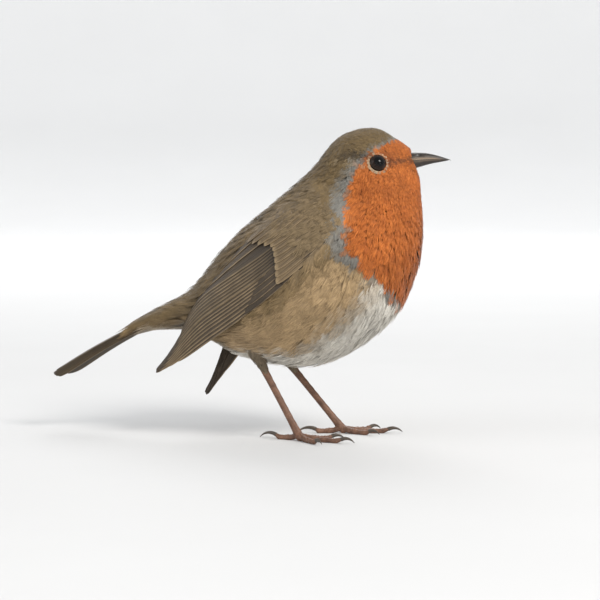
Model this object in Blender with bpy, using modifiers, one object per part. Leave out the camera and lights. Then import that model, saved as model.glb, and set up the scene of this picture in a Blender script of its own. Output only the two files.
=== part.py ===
"""A European robin standing on both feet, as a life-size still model in named solids.

The frame is metres with +Z up. The robin faces +X, its left side is +Y, and the floor under its
toes is Z = 0. The origin is the middle of the model's box, at floor level. Sizes below are written
in millimetres and turned into metres by MM as each mesh is made.
"""

import math

import bmesh
import bpy
import numpy as np
from mathutils import Vector

MM = 0.001
GAP = 0.3  # clear space left between neighbouring solids
RIGHT, LEFT = -1, 1

# Body. Each row is a cross-section that runs from the back line to the breast line:
# back (x, z), breast (x, z), half width, how far down the section it is widest, and how far its
# sides are swept back from it.
SECTIONS = (
    ("bill_base", (34.0, 86.6), (35.8, 79.3), 3.2, 0.50, 0.9),
    ("forehead", (29.9, 89.4), (36.9, 77.6), 4.9, 0.52, 3.4),
    ("crown", (23.0, 92.6), (37.4, 72.2), 7.8, 0.50, 2.8),
    ("hind_crown", (13.0, 90.0), (37.9, 66.0), 10.9, 0.47, 1.2),
    ("nape", (4.3, 80.1), (38.0, 59.2), 14.2, 0.49, 0.0),
    ("mantle", (-7.3, 70.1), (36.2, 49.0), 19.8, 0.53, 0.0),
    ("back", (-19.0, 60.3), (28.4, 34.6), 23.4, 0.54, 0.0),
    ("lower_back", (-27.6, 50.2), (8.6, 21.9), 20.4, 0.52, 0.0),
    ("rump", (-33.4, 43.8), (-13.8, 23.0), 13.0, 0.50, 0.0),
    ("tail_coverts", (-41.4, 39.2), (-31.5, 30.8), 7.4, 0.45, 0.0),
    ("coverts_end", (-49.6, 35.0), (-47.6, 30.4), 4.8, 0.45, 0.0),
)
HEAD_ENDS, NECK_ENDS = 3.25, 4.05  # the two thin cuts, counted in sections from the bill
CUT_HALF = 0.022  # half of a cut, in sections
BODY_SIDES = 26

# The head is turned a little to the robin's left, about an upright axis through the neck.
HEAD_TURN = math.radians(8)
TURN_AXIS_X = 12.0
TURN_FADES = (2.6, 5.2)

# The eyeball lies under the face at this place on the body's surface.
EYE_STATION, EYE_ANGLE = 2.37, 1.48
EYE_RADIUS, EYE_OPENING = 3.0, 2.3

# Bill, from the face to the tip. Heights are measured from the line where the halves meet.
BILL_TIP = (46.1, 83.1)
BILL_ROOT_X = 33.3
BILL_MEETS_Z = 82.85
CULMEN_HEIGHT, GONYS_DEPTH, BILL_HALF_WIDTH = 2.3, 2.45, 2.35
LOWER_BILL_SHORTER = 0.8
BILL_HOOK = 0.3

# Folded wing: a leaf between its lower and upper edge, from the wrist to the tip, given for the
# side y > 0 and mirrored for the other. The left wing is let down a little more than the right.
WING_LOWER = (
    (19.3, 16.6, 67.0),
    (11.0, 21.8, 56.4),
    (-1.0, 23.6, 45.2),
    (-12.6, 20.6, 36.2),
    (-24.0, 16.6, 28.8),
    (-32.8, 13.9, 22.9),
    (-39.9, 12.1, 18.2),
)
WING_UPPER = (
    (7.0, 11.6, 76.6),
    (-1.8, 12.6, 69.4),
    (-10.6, 12.0, 61.6),
    (-19.4, 10.4, 52.4),
    (-27.4, 8.8, 43.2),
    (-34.3, 10.0, 31.2),
    (-41.0, 12.0, 19.4),
)
WING_BULGE = (1.8, 3.0, 4.0, 4.0, 2.6, 1.0, 0.1)
WING_THICKNESS = (2.4, 2.6, 1.9, 1.4, 1.1, 0.9, 0.7)
WING_EDGE_THIN = 0.6  # least thickness, at an edge
COVERTS_END, TERTIALS_END = 0.40, 0.78  # shares of the wing's length
WING_APART_S, WING_APART_T = 0.0045, 0.022  # cuts between the wing's pieces, in its own shares
HOLLOW_REACH = 9.0  # how far the trunk is cleared away outside a wing
LEFT_WING_DROOP = math.radians(9.9)
LEFT_WING_NARROWER = 0.32  # its primaries are folded closer: this share off the lower edge
WING_PIVOT = (15.0, 69.0)

# Tail, from the coverts to the tips of its twelve folded feathers.
TAIL_ROOT, TAIL_TIP = (-49.0, 32.3), (-77.0, 17.1)
TAIL_HALF_WIDTHS = (4.5, 5.0, 5.7, 6.4, 6.8)
TAIL_THICKNESSES = (3.6, 3.1, 2.5, 1.8, 1.1)
TAIL_ROOF = 2.5  # how much lower the outer feathers lie than the middle pair
TAIL_ARCH = 0.8
TAIL_NOTCH, TAIL_CORNER = 0.9, 3.4

# Legs: ankle and foot joints, and the way the foot points (degrees, to the robin's left).
LEGS = {
    "right": dict(side=RIGHT, ankle=(-9.6, -10.0, 24.6), foot=(3.2, -10.2, 1.4), heading=-14),
    "left": dict(side=LEFT, ankle=(-6.2, 10.0, 22.4), foot=(11.6, 10.2, 1.4), heading=12),
}
THIGH_RISE = 10.5  # how far the feathered thigh runs up into the belly
THIGH_RADII = (1.5, 2.8, 4.2, 4.9)
POCKET_PAST_ANKLE = 0.15  # share of the shank that the belly's pocket still leaves free
TARSUS_STATIONS = (0.0, 0.05, 0.12, 0.3, 0.55, 0.8, 0.9, 0.96, 1.0, 1.05, 1.09)
TARSUS_RADII = (1.15, 1.35, 1.0, 0.82, 0.8, 0.86, 1.0, 1.25, 1.4, 1.35, 1.2)

# Toes: angle from the foot's heading towards its inner side, where they begin and end counted
# from the foot joint, claw length and pads.
TOES = {
    "hind": dict(angle=176, start=2.8, length=8.2, claw=6.0, pads=2),
    "inner": dict(angle=33, start=2.0, length=10.0, claw=3.9, pads=2),
    "middle": dict(angle=0, start=2.0, length=14.2, claw=4.5, pads=3),
    "outer": dict(angle=-34, start=2.0, length=10.6, claw=3.8, pads=4),
}
TOE_RADII = (0.92, 0.66)
TOE_TIP_RISE = 1.2
TOE_SINK = 0.1  # how deep the floor cuts into a toe's pads, to leave their flats
CLAW_RADII = (0.56, 0.13)
CLAW_RISES, CLAW_FALLS = math.radians(30), math.radians(52)


# ---------------------------------------------------------------- scene, materials and meshes


def clear_scene():
    for old in list(bpy.data.objects):
        bpy.data.objects.remove(old)


def new_collection(name, shown=True):
    made = bpy.data.collections.new(name)
    bpy.context.scene.collection.children.link(made)
    made.hide_render = not shown
    return made


def material(name, colour, roughness):
    made = bpy.data.materials.new(name)
    made.use_nodes = True
    shader = made.node_tree.nodes["Principled BSDF"]
    shader.inputs["Base Color"].default_value = (*colour, 1.0)
    shader.inputs["Roughness"].default_value = roughness
    shader.inputs["Metallic"].default_value = 0.0
    made.diffuse_color = (*colour, 1.0)
    return made


def finish_mesh(mesh, surface):
    """Points a mesh's faces outwards, shades it smooth and gives it its material."""
    body = bmesh.new()
    body.from_mesh(mesh)
    bmesh.ops.recalc_face_normals(body, faces=body.faces)
    body.to_mesh(mesh)
    body.free()
    mesh.shade_smooth()
    mesh.set_sharp_from_angle(angle=math.radians(50))
    if surface:
        mesh.materials.append(surface)


def add_object(name, mesh, home):
    made = bpy.data.objects.new(name, mesh)
    home.objects.link(made)
    return made


def as_cutter(made):
    made.display_type = "WIRE"
    made.hide_render = True
    return made


def loft(name, rings, surface, home):
    """A closed solid through rings of points in millimetres, with a flat cap at each end."""
    rings = np.asarray(rings, float)
    count, sides = rings.shape[:2]
    ring = [[i * sides + j for j in range(sides)] for i in range(count)]
    faces = [
        (near[j], near[(j + 1) % sides], far[(j + 1) % sides], far[j])
        for near, far in zip(ring, ring[1:])
        for j in range(sides)
    ]
    mesh = bpy.data.meshes.new(name)
    mesh.from_pydata((rings.reshape(-1, 3) * MM).tolist(), [], faces + [ring[0], ring[-1]])
    finish_mesh(mesh, surface)
    return add_object(name, mesh, home)


def leaf(name, points, thickness, offset, surface, home):
    """A thin solid over a grid of points: an open surface given its thickness, which varies from
    place to place, by Solidify. offset -1 keeps the points on the outside, 0 in the middle."""
    rows, columns = points.shape[:2]
    faces = [
        (i * columns + j, i * columns + j + 1, (i + 1) * columns + j + 1, (i + 1) * columns + j)
        for i in range(rows - 1)
        for j in range(columns - 1)
    ]
    mesh = bpy.data.meshes.new(name)
    mesh.from_pydata((points.reshape(-1, 3) * MM).tolist(), [], faces)
    mesh.shade_smooth()
    if surface:
        mesh.materials.append(surface)
    made = add_object(name, mesh, home)
    fullest = float(thickness.max())
    group = made.vertex_groups.new(name="thickness")
    for index, share in enumerate((thickness / fullest).ravel()):
        group.add([index], float(share), "REPLACE")
    solid = made.modifiers.new("thickness", "SOLIDIFY")
    solid.thickness = fullest * MM
    solid.offset = offset
    solid.vertex_group = group.name
    return made


def applied(made):
    """Replaces an object's mesh by its evaluated one, and drops its modifiers."""
    bpy.context.view_layer.update()
    graph = bpy.context.evaluated_depsgraph_get()
    mesh = bpy.data.meshes.new_from_object(made.evaluated_get(graph))
    made.modifiers.clear()
    made.data = mesh
    return made


def cut_away(target, cutter):
    """Cuts the cutter's shape out of the target."""
    cut = target.modifiers.new("cut", "BOOLEAN")
    cut.operation = "DIFFERENCE"
    cut.solver = "EXACT"
    cut.object = cutter
    applied(target)


def tube(name, path, radii, resolution, surface, home):
    """A tapering round tube along points in millimetres, with its ends closed."""
    curve = bpy.data.curves.new(name, "CURVE")
    curve.dimensions = "3D"
    curve.bevel_depth = MM
    curve.bevel_resolution = resolution
    curve.use_fill_caps = True
    spline = curve.splines.new("POLY")
    spline.points.add(len(path) - 1)
    for point, place, radius in zip(spline.points, path, radii):
        point.co = (*(Vector(place) * MM), 1.0)
        point.radius = radius
    guide = bpy.data.objects.new(name, curve)
    home.objects.link(guide)
    graph = bpy.context.evaluated_depsgraph_get()
    mesh = bpy.data.meshes.new_from_object(guide.evaluated_get(graph))
    bpy.data.objects.remove(guide)
    body = bmesh.new()
    body.from_mesh(mesh)
    bmesh.ops.remove_doubles(body, verts=body.verts, dist=1e-6)
    body.to_mesh(mesh)
    body.free()
    mesh.materials.clear()
    finish_mesh(mesh, surface)
    return add_object(name, mesh, home)


def ball(name, centre, radius, segments, rings, surface, home):
    body = bmesh.new()
    bmesh.ops.create_uvsphere(body, u_segments=segments, v_segments=rings, radius=radius * MM)
    mesh = bpy.data.meshes.new(name)
    body.to_mesh(mesh)
    body.free()
    mesh.shade_smooth()
    if surface:
        mesh.materials.append(surface)
    made = add_object(name, mesh, home)
    made.location = Vector(centre) * MM
    return made


def slice_flat(target, point, normal):
    """Removes what lies on the normal's side of a plane, and closes the solid with a flat."""
    body = bmesh.new()
    body.from_mesh(target.data)
    cut = bmesh.ops.bisect_plane(
        body, geom=body.verts[:] + body.edges[:] + body.faces[:], dist=1e-7, clear_outer=True,
        plane_co=Vector(point) * MM, plane_no=Vector(normal),
    )
    rim = [item for item in cut["geom_cut"] if isinstance(item, bmesh.types.BMEdge)]
    bmesh.ops.holes_fill(body, edges=rim)
    bmesh.ops.recalc_face_normals(body, faces=body.faces)
    body.to_mesh(target.data)
    body.free()


# ---------------------------------------------------------------- curves


def smooth_curve(values, at):
    """Catmull-Rom curve through evenly numbered values, read at the numbers in at."""
    values = np.asarray(values, float)
    at = np.asarray(at, float)
    last = len(values) - 1
    start = np.clip(np.floor(at).astype(int), 0, last - 1)
    step = at - start
    before = 2 * values[0] - values[1]
    after = 2 * values[-1] - values[-2]
    padded = np.concatenate([before[None], values, after[None]])
    p0, p1, p2, p3 = (padded[start + k] for k in range(4))
    if values.ndim > 1:
        step = step[..., None]
    return 0.5 * (
        2 * p1
        + (p2 - p0) * step
        + (2 * p0 - 5 * p1 + 4 * p2 - p3) * step**2
        + (3 * p1 - p0 - 3 * p2 + p3) * step**3
    )


def ease(x, low, high):
    """0 below low, 1 above high, and a smooth step between."""
    t = np.clip((np.asarray(x, float) - low) / (high - low), 0, 1)
    return t * t * (3 - 2 * t)


def unit(vectors):
    return vectors / np.linalg.norm(vectors, axis=-1, keepdims=True)


# ---------------------------------------------------------------- body, eyes and bill


def turn_head(points, station):
    """Turns points about the neck's upright axis, fully at the face and not at all on the trunk."""
    points = np.asarray(points, float)
    angle = HEAD_TURN * (1 - ease(station, *TURN_FADES))
    x, y = points[..., 0] - TURN_AXIS_X, points[..., 1]
    turned = points.copy()
    turned[..., 0] = TURN_AXIS_X + x * np.cos(angle) - y * np.sin(angle)
    turned[..., 1] = x * np.sin(angle) + y * np.cos(angle)
    return turned


def body_surface(station, angle):
    """The body's outside. station counts sections from the bill, and angle runs from the back
    line (0) over the robin's left side to the breast line (pi) and up its right side."""
    station, angle = np.broadcast_arrays(station, angle)
    back, breast, half_width, widest, swept = (
        smooth_curve([row[column] for row in SECTIONS], station) for column in (1, 2, 3, 4, 5)
    )
    middle = back + (breast - back) * widest[..., None]
    upper, lower = back - middle, breast - middle
    c, s = np.cos(angle)[..., None], np.sin(angle)
    place = middle + np.where(c > 0, upper, lower) * np.abs(c)
    points = np.stack([place[..., 0] - swept * s**2, half_width * s, place[..., 1]], -1)
    return turn_head(points, station)


def body_piece(name, first, last, count, surface, home):
    angle = np.arange(BODY_SIDES) / BODY_SIDES * 2 * math.pi
    rings = body_surface(np.linspace(first, last, count)[:, None], angle[None])
    return loft(name, rings, surface, home)


def eye_centre(side):
    """The eyeball's centre: straight under the face, as deep as its opening asks."""
    angle = side * EYE_ANGLE
    place = body_surface(EYE_STATION, angle)
    step = 0.01
    ahead = body_surface(EYE_STATION - step, angle) - body_surface(EYE_STATION + step, angle)
    round_face = body_surface(EYE_STATION, angle + step) - body_surface(EYE_STATION, angle - step)
    outward = unit(np.cross(ahead, round_face))
    outward = outward * np.sign(outward[1] * side)
    return place - outward * math.sqrt(EYE_RADIUS**2 - EYE_OPENING**2)


def make_eyes(head, surface, home, cutters):
    for side, name in ((RIGHT, "eye_right"), (LEFT, "eye_left")):
        centre = eye_centre(side)
        ball(name, centre, EYE_RADIUS, 16, 10, surface, home)
        socket = ball(name + "_socket", centre, EYE_RADIUS + GAP, 16, 10, None, cutters)
        cut_away(head, as_cutter(socket))


def bill_socket(head, cutters):
    """Lets the bill's root into the face, which stands round it."""
    along = [(BILL_ROOT_X, 0, BILL_MEETS_Z), (BILL_ROOT_X + 8, 0, BILL_MEETS_Z)]
    wide = max(CULMEN_HEIGHT, GONYS_DEPTH, BILL_HALF_WIDTH) + GAP
    socket = tube("bill_socket", turn_head(along, 0.0), (wide, wide), 3, None, cutters)
    cut_away(head, as_cutter(socket))


def bill_half(name, height, up, surface, home):
    """One half of the bill: half-round sections that shrink along a curved edge to the tip. The
    upper half is the longer one, and its tip turns down a little past the lower one's."""
    root = BILL_ROOT_X + GAP
    whole = BILL_TIP[0] - root
    reach = whole - (0 if up > 0 else LOWER_BILL_SHORTER)
    rings = []
    for t in np.linspace(0, 1, 11):
        x = root + reach * t
        share = (x - root) / whole
        meets = BILL_MEETS_Z + (BILL_TIP[1] - BILL_MEETS_Z) * share
        meets += 0.35 * math.sin(math.pi * share) ** 2
        tall = max(height * (1 - t ** (1.55 if up > 0 else 1.25)), 0.16)
        wide = max(BILL_HALF_WIDTH * (1 - t) ** 0.85, 0.2)
        flat = meets + up * GAP / 2
        if up > 0:
            flat -= BILL_HOOK * ease(x, BILL_TIP[0] - LOWER_BILL_SHORTER, BILL_TIP[0])
        arc = np.linspace(0, math.pi, 9)[::up]
        rings.append([(x, wide * math.cos(a), flat + up * tall * math.sin(a) ** 0.9) for a in arc])
    loft(name, turn_head(rings, 0.0), surface, home)


# ---------------------------------------------------------------- wings and tail


def wing_surface(s, t, side):
    """(points, outward normals) of the folded wing. s runs from wrist to tip, and t from the
    lower edge to the upper one. Between the edges the leaf stands out in an arc."""
    at = np.asarray(s, float) * (len(WING_LOWER) - 1)
    lower, upper = smooth_curve(WING_LOWER, at), smooth_curve(WING_UPPER, at)
    if side == LEFT:
        lower = lower + (upper - lower) * LEFT_WING_NARROWER * ease(s, 0.3, 0.75)[..., None]
    bulge = smooth_curve(WING_BULGE, at)[..., None]
    t = np.asarray(t, float)[..., None]
    along = smooth_curve(WING_LOWER, at + 0.05) - smooth_curve(WING_LOWER, at - 0.05)
    out = unit(np.cross(upper - lower, along))
    out = out * np.sign(out[..., 1:2])
    points = lower + (upper - lower) * t + out * bulge * 4 * t * (1 - t)
    lean = (upper - lower) + out * bulge * 4 * (1 - 2 * t)
    normal = unit(np.cross(lean, along))
    normal = normal * np.sign((normal * out).sum(-1, keepdims=True))
    flip = np.array([1, side, 1])
    if side == RIGHT:
        return points * flip, normal * flip
    pivot = np.array([WING_PIVOT[0], 0, WING_PIVOT[1]])
    return droop(points - pivot) + pivot, droop(normal)


def droop(vectors):
    """Turns vectors about a level axis across the body, so that what points back points down."""
    c, s = math.cos(LEFT_WING_DROOP), math.sin(LEFT_WING_DROOP)
    x, y, z = vectors[..., 0], vectors[..., 1], vectors[..., 2]
    return np.stack([x * c - z * s, y, x * s + z * c], -1)


def wing_thickness(s, t):
    full = smooth_curve(WING_THICKNESS, s * (len(WING_THICKNESS) - 1))
    edge = np.sqrt(np.clip(4 * t * (1 - t), 0, 1))
    return WING_EDGE_THIN + np.maximum(full - WING_EDGE_THIN, 0) * edge


def wing_piece(name, side, s, t, surface, home):
    points, _ = wing_surface(s, t, side)
    if side == LEFT:  # mirrored grids run the other way round, so that both face outwards
        points, s, t = points[:, ::-1], s[:, ::-1], t[:, ::-1]
    leaf(name, points, wing_thickness(s, t), -1, surface, home)


def tertial_line(s):
    """Where the primaries stop and the tertials begin, as a share of the wing's width."""
    x = np.clip((s - COVERTS_END) / (TERTIALS_END - COVERTS_END), 0, 1)
    return 0.36 + 0.5 * x**1.5


def make_wing(label, side, coverts, flight, home):
    end = COVERTS_END - WING_APART_S
    s, t = np.meshgrid(np.linspace(0.0, end, 9), np.linspace(0, 1, 9), indexing="ij")
    round_front = 0.03 * (2 * t - 1) ** 2 * (1 - s / COVERTS_END)
    round_end = 0.015 * 4 * t * (1 - t) * s / COVERTS_END
    wing_piece(f"wing_{label}_coverts", side, s + round_front - round_end, t, coverts, home)

    s, t = np.meshgrid(np.linspace(COVERTS_END, 0.985, 13), np.linspace(0, 1, 6), indexing="ij")
    open_up = ease(s, TERTIALS_END + 0.004, TERTIALS_END + 0.05)
    top = (tertial_line(s) - WING_APART_T) * (1 - open_up) + open_up
    wing_piece(f"wing_{label}_primaries", side, s, t * top, flight, home)

    end = TERTIALS_END - 2 * WING_APART_S
    s, t = np.meshgrid(np.linspace(COVERTS_END, end, 9), np.linspace(0, 1, 5), indexing="ij")
    low = tertial_line(s) + WING_APART_T
    wing_piece(f"wing_{label}_tertials", side, s, low + (1 - low) * t, flight, home)


def wing_hollow(label, side, trunk, cutters):
    """Lets a wing into the trunk. The cutter is the wing's leaf grown by the gap, and carried
    outwards far enough that nothing of the trunk is left over it."""
    s, t = np.meshgrid(np.linspace(-0.012, 0.95, 15), np.linspace(-0.03, 1.03, 9), indexing="ij")
    points, normal = wing_surface(s, t, side)
    deep = wing_thickness(s, np.full_like(t, 0.5)) + GAP + 0.15
    inside = points - normal * deep[..., None]
    if side == LEFT:
        inside = inside[:, ::-1]
    cutter = leaf(f"wing_{label}_hollow", inside, deep + HOLLOW_REACH, 1, None, cutters)
    cut_away(trunk, as_cutter(cutter))


def make_tail(surface, home):
    """Twelve folded feathers as one leaf: a low roof, widest and barely notched at its end."""
    s, t = np.meshgrid(np.linspace(0, 1, 11), np.linspace(-1, 1, 11), indexing="ij")
    knots = s * (len(TAIL_HALF_WIDTHS) - 1)
    root, tip = np.array(TAIL_ROOT), np.array(TAIL_TIP)
    along = unit(tip - root)
    up = np.array([along[1], -along[0]])
    corner = TAIL_CORNER * np.abs(t) ** 5
    reach = GAP + s * (np.linalg.norm(tip - root) - GAP - corner - TAIL_NOTCH * (1 - np.abs(t)))
    height = TAIL_ARCH * np.sin(math.pi * s) - TAIL_ROOF * ease(s, 0.0, 0.5) * np.abs(t) ** 1.4
    place = root + along * reach[..., None] + up * height[..., None]
    points = np.stack([place[..., 0], t * smooth_curve(TAIL_HALF_WIDTHS, knots), place[..., 1]], -1)
    full = smooth_curve(TAIL_THICKNESSES, knots)
    thickness = WING_EDGE_THIN + (full - WING_EDGE_THIN) * np.sqrt(1 - np.abs(t) ** 2.4)
    leaf("tail", points, thickness, 0, surface, home)


# ---------------------------------------------------------------- legs, toes and claws


def make_thigh(label, leg, surface, trunk, home, cutters):
    """The feathered thigh above the ankle, and its pocket in the belly."""
    ankle = np.array(leg["ankle"])
    start = ankle + [0, 0, 3 * GAP]
    rise = np.array([-0.6, 0.35 * leg["side"], THIGH_RISE])
    path = start + rise * np.linspace(0, 1, len(THIGH_RADII))[:, None]
    tube(f"thigh_{label}", path, THIGH_RADII, 3, surface, home)
    below = ankle + (np.array(leg["foot"]) - ankle) * POCKET_PAST_ANKLE
    longer = np.concatenate([below[None], path + np.outer([0, 0, 0, GAP], [0, 0, 1])])
    wider = np.array((TARSUS_RADII[1],) + THIGH_RADII) + GAP + 0.1
    pocket = tube(f"thigh_{label}_pocket", longer, wider, 3, None, cutters)
    cut_away(trunk, as_cutter(pocket))


def make_tarsus(label, leg, surface, home):
    """The scaled leg from the ankle to a flat sole, with a flat towards each front toe."""
    ankle, foot = np.array(leg["ankle"]), np.array(leg["foot"])
    path = ankle + (foot - ankle) * np.array(TARSUS_STATIONS)[:, None]
    made = tube(f"tarsus_{label}", path, TARSUS_RADII, 3, surface, home)
    slice_flat(made, (0, 0, 0), (0, 0, -1))
    for toe in TOES.values():
        away = toe_direction(leg, toe)
        if away[0] > 0:
            slice_flat(made, foot + away * (toe["start"] - GAP), away)


def toe_direction(leg, toe):
    turned = math.radians(leg["heading"] - leg["side"] * toe["angle"])
    return np.array([math.cos(turned), math.sin(turned), 0.0])


def make_toe(label, name, leg, surface, home):
    """A toe from the sole to its claw: it comes down to the floor, arches lightly between its
    pads, rises at the tip, and stands on a small flat under each pad. Returns its tip."""
    toe = TOES[name]
    away = toe_direction(leg, toe)
    foot = np.array(leg["foot"]) * [1, 1, 0]
    share = np.linspace(0, 1, 12)
    reach = toe["start"] + (toe["length"] - toe["start"]) * share
    waves = np.cos(2 * math.pi * toe["pads"] * share)
    radius = TOE_RADII[0] + (TOE_RADII[1] - TOE_RADII[0]) * share - 0.05 * waves
    height = radius - TOE_SINK + 0.07 * waves + 0.55 * (1 - ease(share, 0, 0.3))
    height = height + (TOE_TIP_RISE - height) * ease(share, 0.8, 1.0)
    path = foot + away * reach[:, None] + np.outer(height, [0, 0, 1])
    made = tube(f"toe_{label}_{name}", path, radius, 3, surface, home)
    slice_flat(made, (0, 0, 0), (0, 0, -1))
    for neighbour in TOES.values():
        if 0 < abs(neighbour["angle"] - toe["angle"]) < 40:
            apart = unit(toe_direction(leg, neighbour) - away)
            slice_flat(made, foot - apart * GAP * 0.55, apart)
    return path[-1]


def make_claw(label, name, leg, toe_tip, surface, home):
    """A claw that leaves the toe rising, bends evenly and comes down to just above the floor."""
    toe = TOES[name]
    away = toe_direction(leg, toe)
    s = np.linspace(0, 1, 7)
    bend = (CLAW_RISES + CLAW_FALLS) / toe["claw"]
    turned = CLAW_RISES - bend * toe["claw"] * s
    out = GAP + 0.25 + (math.sin(CLAW_RISES) - np.sin(turned)) / bend
    up = (np.cos(turned) - math.cos(CLAW_RISES)) / bend
    path = toe_tip + away * out[:, None] + np.outer(up, [0, 0, 1])
    radius = CLAW_RADII[0] + (CLAW_RADII[1] - CLAW_RADII[0]) * s**1.6
    tube(f"claw_{label}_{name}", path, radius, 2, surface, home)


def make_leg(label, leg, feather, scales, claw_horn, trunk, home, cutters):
    make_thigh(label, leg, feather, trunk, home, cutters)
    make_tarsus(label, leg, scales, home)
    for name in TOES:
        tip = make_toe(label, name, leg, scales, home)
        make_claw(label, name, leg, tip, claw_horn, home)


# ---------------------------------------------------------------- the whole robin


def centre_on_floor(parts, cutters):
    """Moves everything so that the origin is under the middle of the model's box."""
    bpy.context.view_layer.update()
    graph = bpy.context.evaluated_depsgraph_get()
    corners = [made.evaluated_get(graph).bound_box for made in parts]
    places = np.array([
        made.matrix_world @ Vector(corner) for made, box in zip(parts, corners) for corner in box
    ])
    middle = (places.min(0) + places.max(0)) / 2
    for made in [*parts, *cutters]:
        made.location -= Vector((middle[0], middle[1], 0))


def build():
    clear_scene()
    robin = new_collection("robin")
    cutters = new_collection("robin_cutters", shown=False)
    olive = material("olive_brown_feather", (0.23, 0.17, 0.10), 0.85)
    orange = material("orange_feather", (0.62, 0.20, 0.05), 0.85)
    flight = material("flight_feather", (0.16, 0.11, 0.07), 0.7)
    horn = material("bill_horn", (0.035, 0.028, 0.024), 0.35)
    scales = material("leg_scale", (0.20, 0.11, 0.075), 0.5)
    claw_horn = material("claw_horn", (0.06, 0.04, 0.03), 0.35)
    dark_eye = material("dark_eye", (0.02, 0.012, 0.01), 0.08)

    last = len(SECTIONS) - 1
    head = body_piece("head", 0, HEAD_ENDS - CUT_HALF, 12, orange, robin)
    body_piece("neck", HEAD_ENDS + CUT_HALF, NECK_ENDS - CUT_HALF, 5, orange, robin)
    trunk = body_piece("trunk", NECK_ENDS + CUT_HALF, last, 20, olive, robin)
    make_eyes(head, dark_eye, robin, cutters)
    bill_socket(head, cutters)
    bill_half("bill_upper", CULMEN_HEIGHT, 1, horn, robin)
    bill_half("bill_lower", GONYS_DEPTH, -1, horn, robin)
    for label, side in (("right", RIGHT), ("left", LEFT)):
        wing_hollow(label, side, trunk, cutters)
        make_wing(label, side, olive, flight, robin)
    make_tail(flight, robin)
    for label, leg in LEGS.items():
        make_leg(label, leg, olive, scales, claw_horn, trunk, robin, cutters)
    centre_on_floor(list(robin.objects), list(cutters.objects))


build()
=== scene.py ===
"""A European robin, life size, standing on both feet as in a museum case.

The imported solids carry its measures. Here they get their surfaces: a skin with a coat of small
feathers over it, laid wing and tail feathers, eyes, bill, scaled legs and claws. Shapes are worked
out in millimetres, in the frame in which the bird was drawn up, and turned into metres of the
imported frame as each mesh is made.
"""

import math

import bpy
import numpy as np
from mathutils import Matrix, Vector


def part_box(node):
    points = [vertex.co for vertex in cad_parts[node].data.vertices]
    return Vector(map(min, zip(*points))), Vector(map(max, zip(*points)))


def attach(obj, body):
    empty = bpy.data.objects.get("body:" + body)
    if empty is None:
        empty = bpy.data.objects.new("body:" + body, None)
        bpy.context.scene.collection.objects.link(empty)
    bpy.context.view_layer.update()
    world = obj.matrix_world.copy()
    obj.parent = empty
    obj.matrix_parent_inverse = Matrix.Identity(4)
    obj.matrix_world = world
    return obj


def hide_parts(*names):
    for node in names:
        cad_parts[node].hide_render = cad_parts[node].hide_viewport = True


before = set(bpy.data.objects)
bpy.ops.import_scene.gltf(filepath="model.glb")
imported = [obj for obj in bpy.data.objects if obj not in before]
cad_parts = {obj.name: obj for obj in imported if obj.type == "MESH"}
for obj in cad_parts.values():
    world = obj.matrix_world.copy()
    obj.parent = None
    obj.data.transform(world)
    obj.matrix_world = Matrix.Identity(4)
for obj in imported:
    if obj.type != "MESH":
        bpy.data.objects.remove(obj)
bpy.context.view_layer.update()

# ---- Studio
# A pale matt floor that curves up into a round backdrop, with soft lights inside it: a large key
# light before the bird's face, a fill on the other side, a strip behind it, and an even sky.

MM = 0.001
LOOK_AT = Vector((0.0163, 0.0, 0.0411))
CAMERA_AZIMUTH, CAMERA_ELEVATION, CAMERA_AWAY = math.radians(14), math.radians(4), 0.675
LENS, SENSOR, CLIP = 135.0, 36.0, (0.01, 20.0)
LIGHTS = (  # name, place, width of the round lamp, watts, colour
    ("key", (0.95, -0.66, 0.98), 0.6, 17.0, (1.0, 0.975, 0.94)),
    ("fill", (-1.1, -0.9, 0.7), 1.2, 5.0, (0.96, 0.98, 1.0)),
    ("behind", (-0.3, 1.15, 1.0), 1.0, 9.0, (1.0, 1.0, 1.0)),
)
SKY_COLOUR, SKY_STRENGTH = (0.97, 0.985, 1.0, 1), 0.72
FLOOR_RINGS = (0.0, 0.3, 0.8, 1.5)  # the level part, from the middle out
BACKDROP_BEND, BACKDROP_TOP = 0.9, 1.0
FLOOR_SHADES = (0.3, 2.0, 0.58, 0.92)  # darker near than far: from and to, in metres, and tones


def aim(made, place, target):
    """Puts a camera or light at a place and turns it to look at a target."""
    made.location = place
    made.rotation_euler = (target - Vector(place)).to_track_quat("-Z", "Y").to_euler()
    bpy.context.scene.collection.objects.link(made)


def add_node(tree, kind, inputs=(), **settings):
    """Adds a shader node. An input given as a socket is linked, any other is set as a value."""
    made = tree.nodes.new("ShaderNode" + kind)
    for key, value in settings.items():
        setattr(made, key, value)
    for key, value in dict(inputs).items():
        if isinstance(value, bpy.types.NodeSocket):
            tree.links.new(value, made.inputs[key])
        else:
            made.inputs[key].default_value = value
    return made


def tree_of(*values):
    """The node tree that the first socket among some values belongs to."""
    return next(value for value in values if isinstance(value, bpy.types.NodeSocket)).id_data


def calculate(operation, *values, clamp=False):
    """Joins values in turn by one operation; one that takes a single value gets a 0 after it."""
    tree, result = tree_of(*values), values[0]
    for value in values[1:]:
        made = add_node(tree, "Math", {0: result, 1: value}, operation=operation)
        made.use_clamp = clamp
        result = made.outputs[0]
    return result


def total(*values):
    """The sum of some values."""
    return calculate("ADD", *values)


def product(*values):
    """Some values multiplied together."""
    return calculate("MULTIPLY", *values)


def rescale(value, low, high, to_low=0.0, to_high=1.0):
    """Maps one range evenly onto another and stops at its ends."""
    return add_node(tree_of(value), "MapRange", {
        "Value": value, "From Min": low, "From Max": high, "To Min": to_low, "To Max": to_high,
    }).outputs[0]


def own_place(tree):
    """A place in the piece's own coordinates."""
    return add_node(tree, "TexCoord").outputs["Object"]


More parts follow.
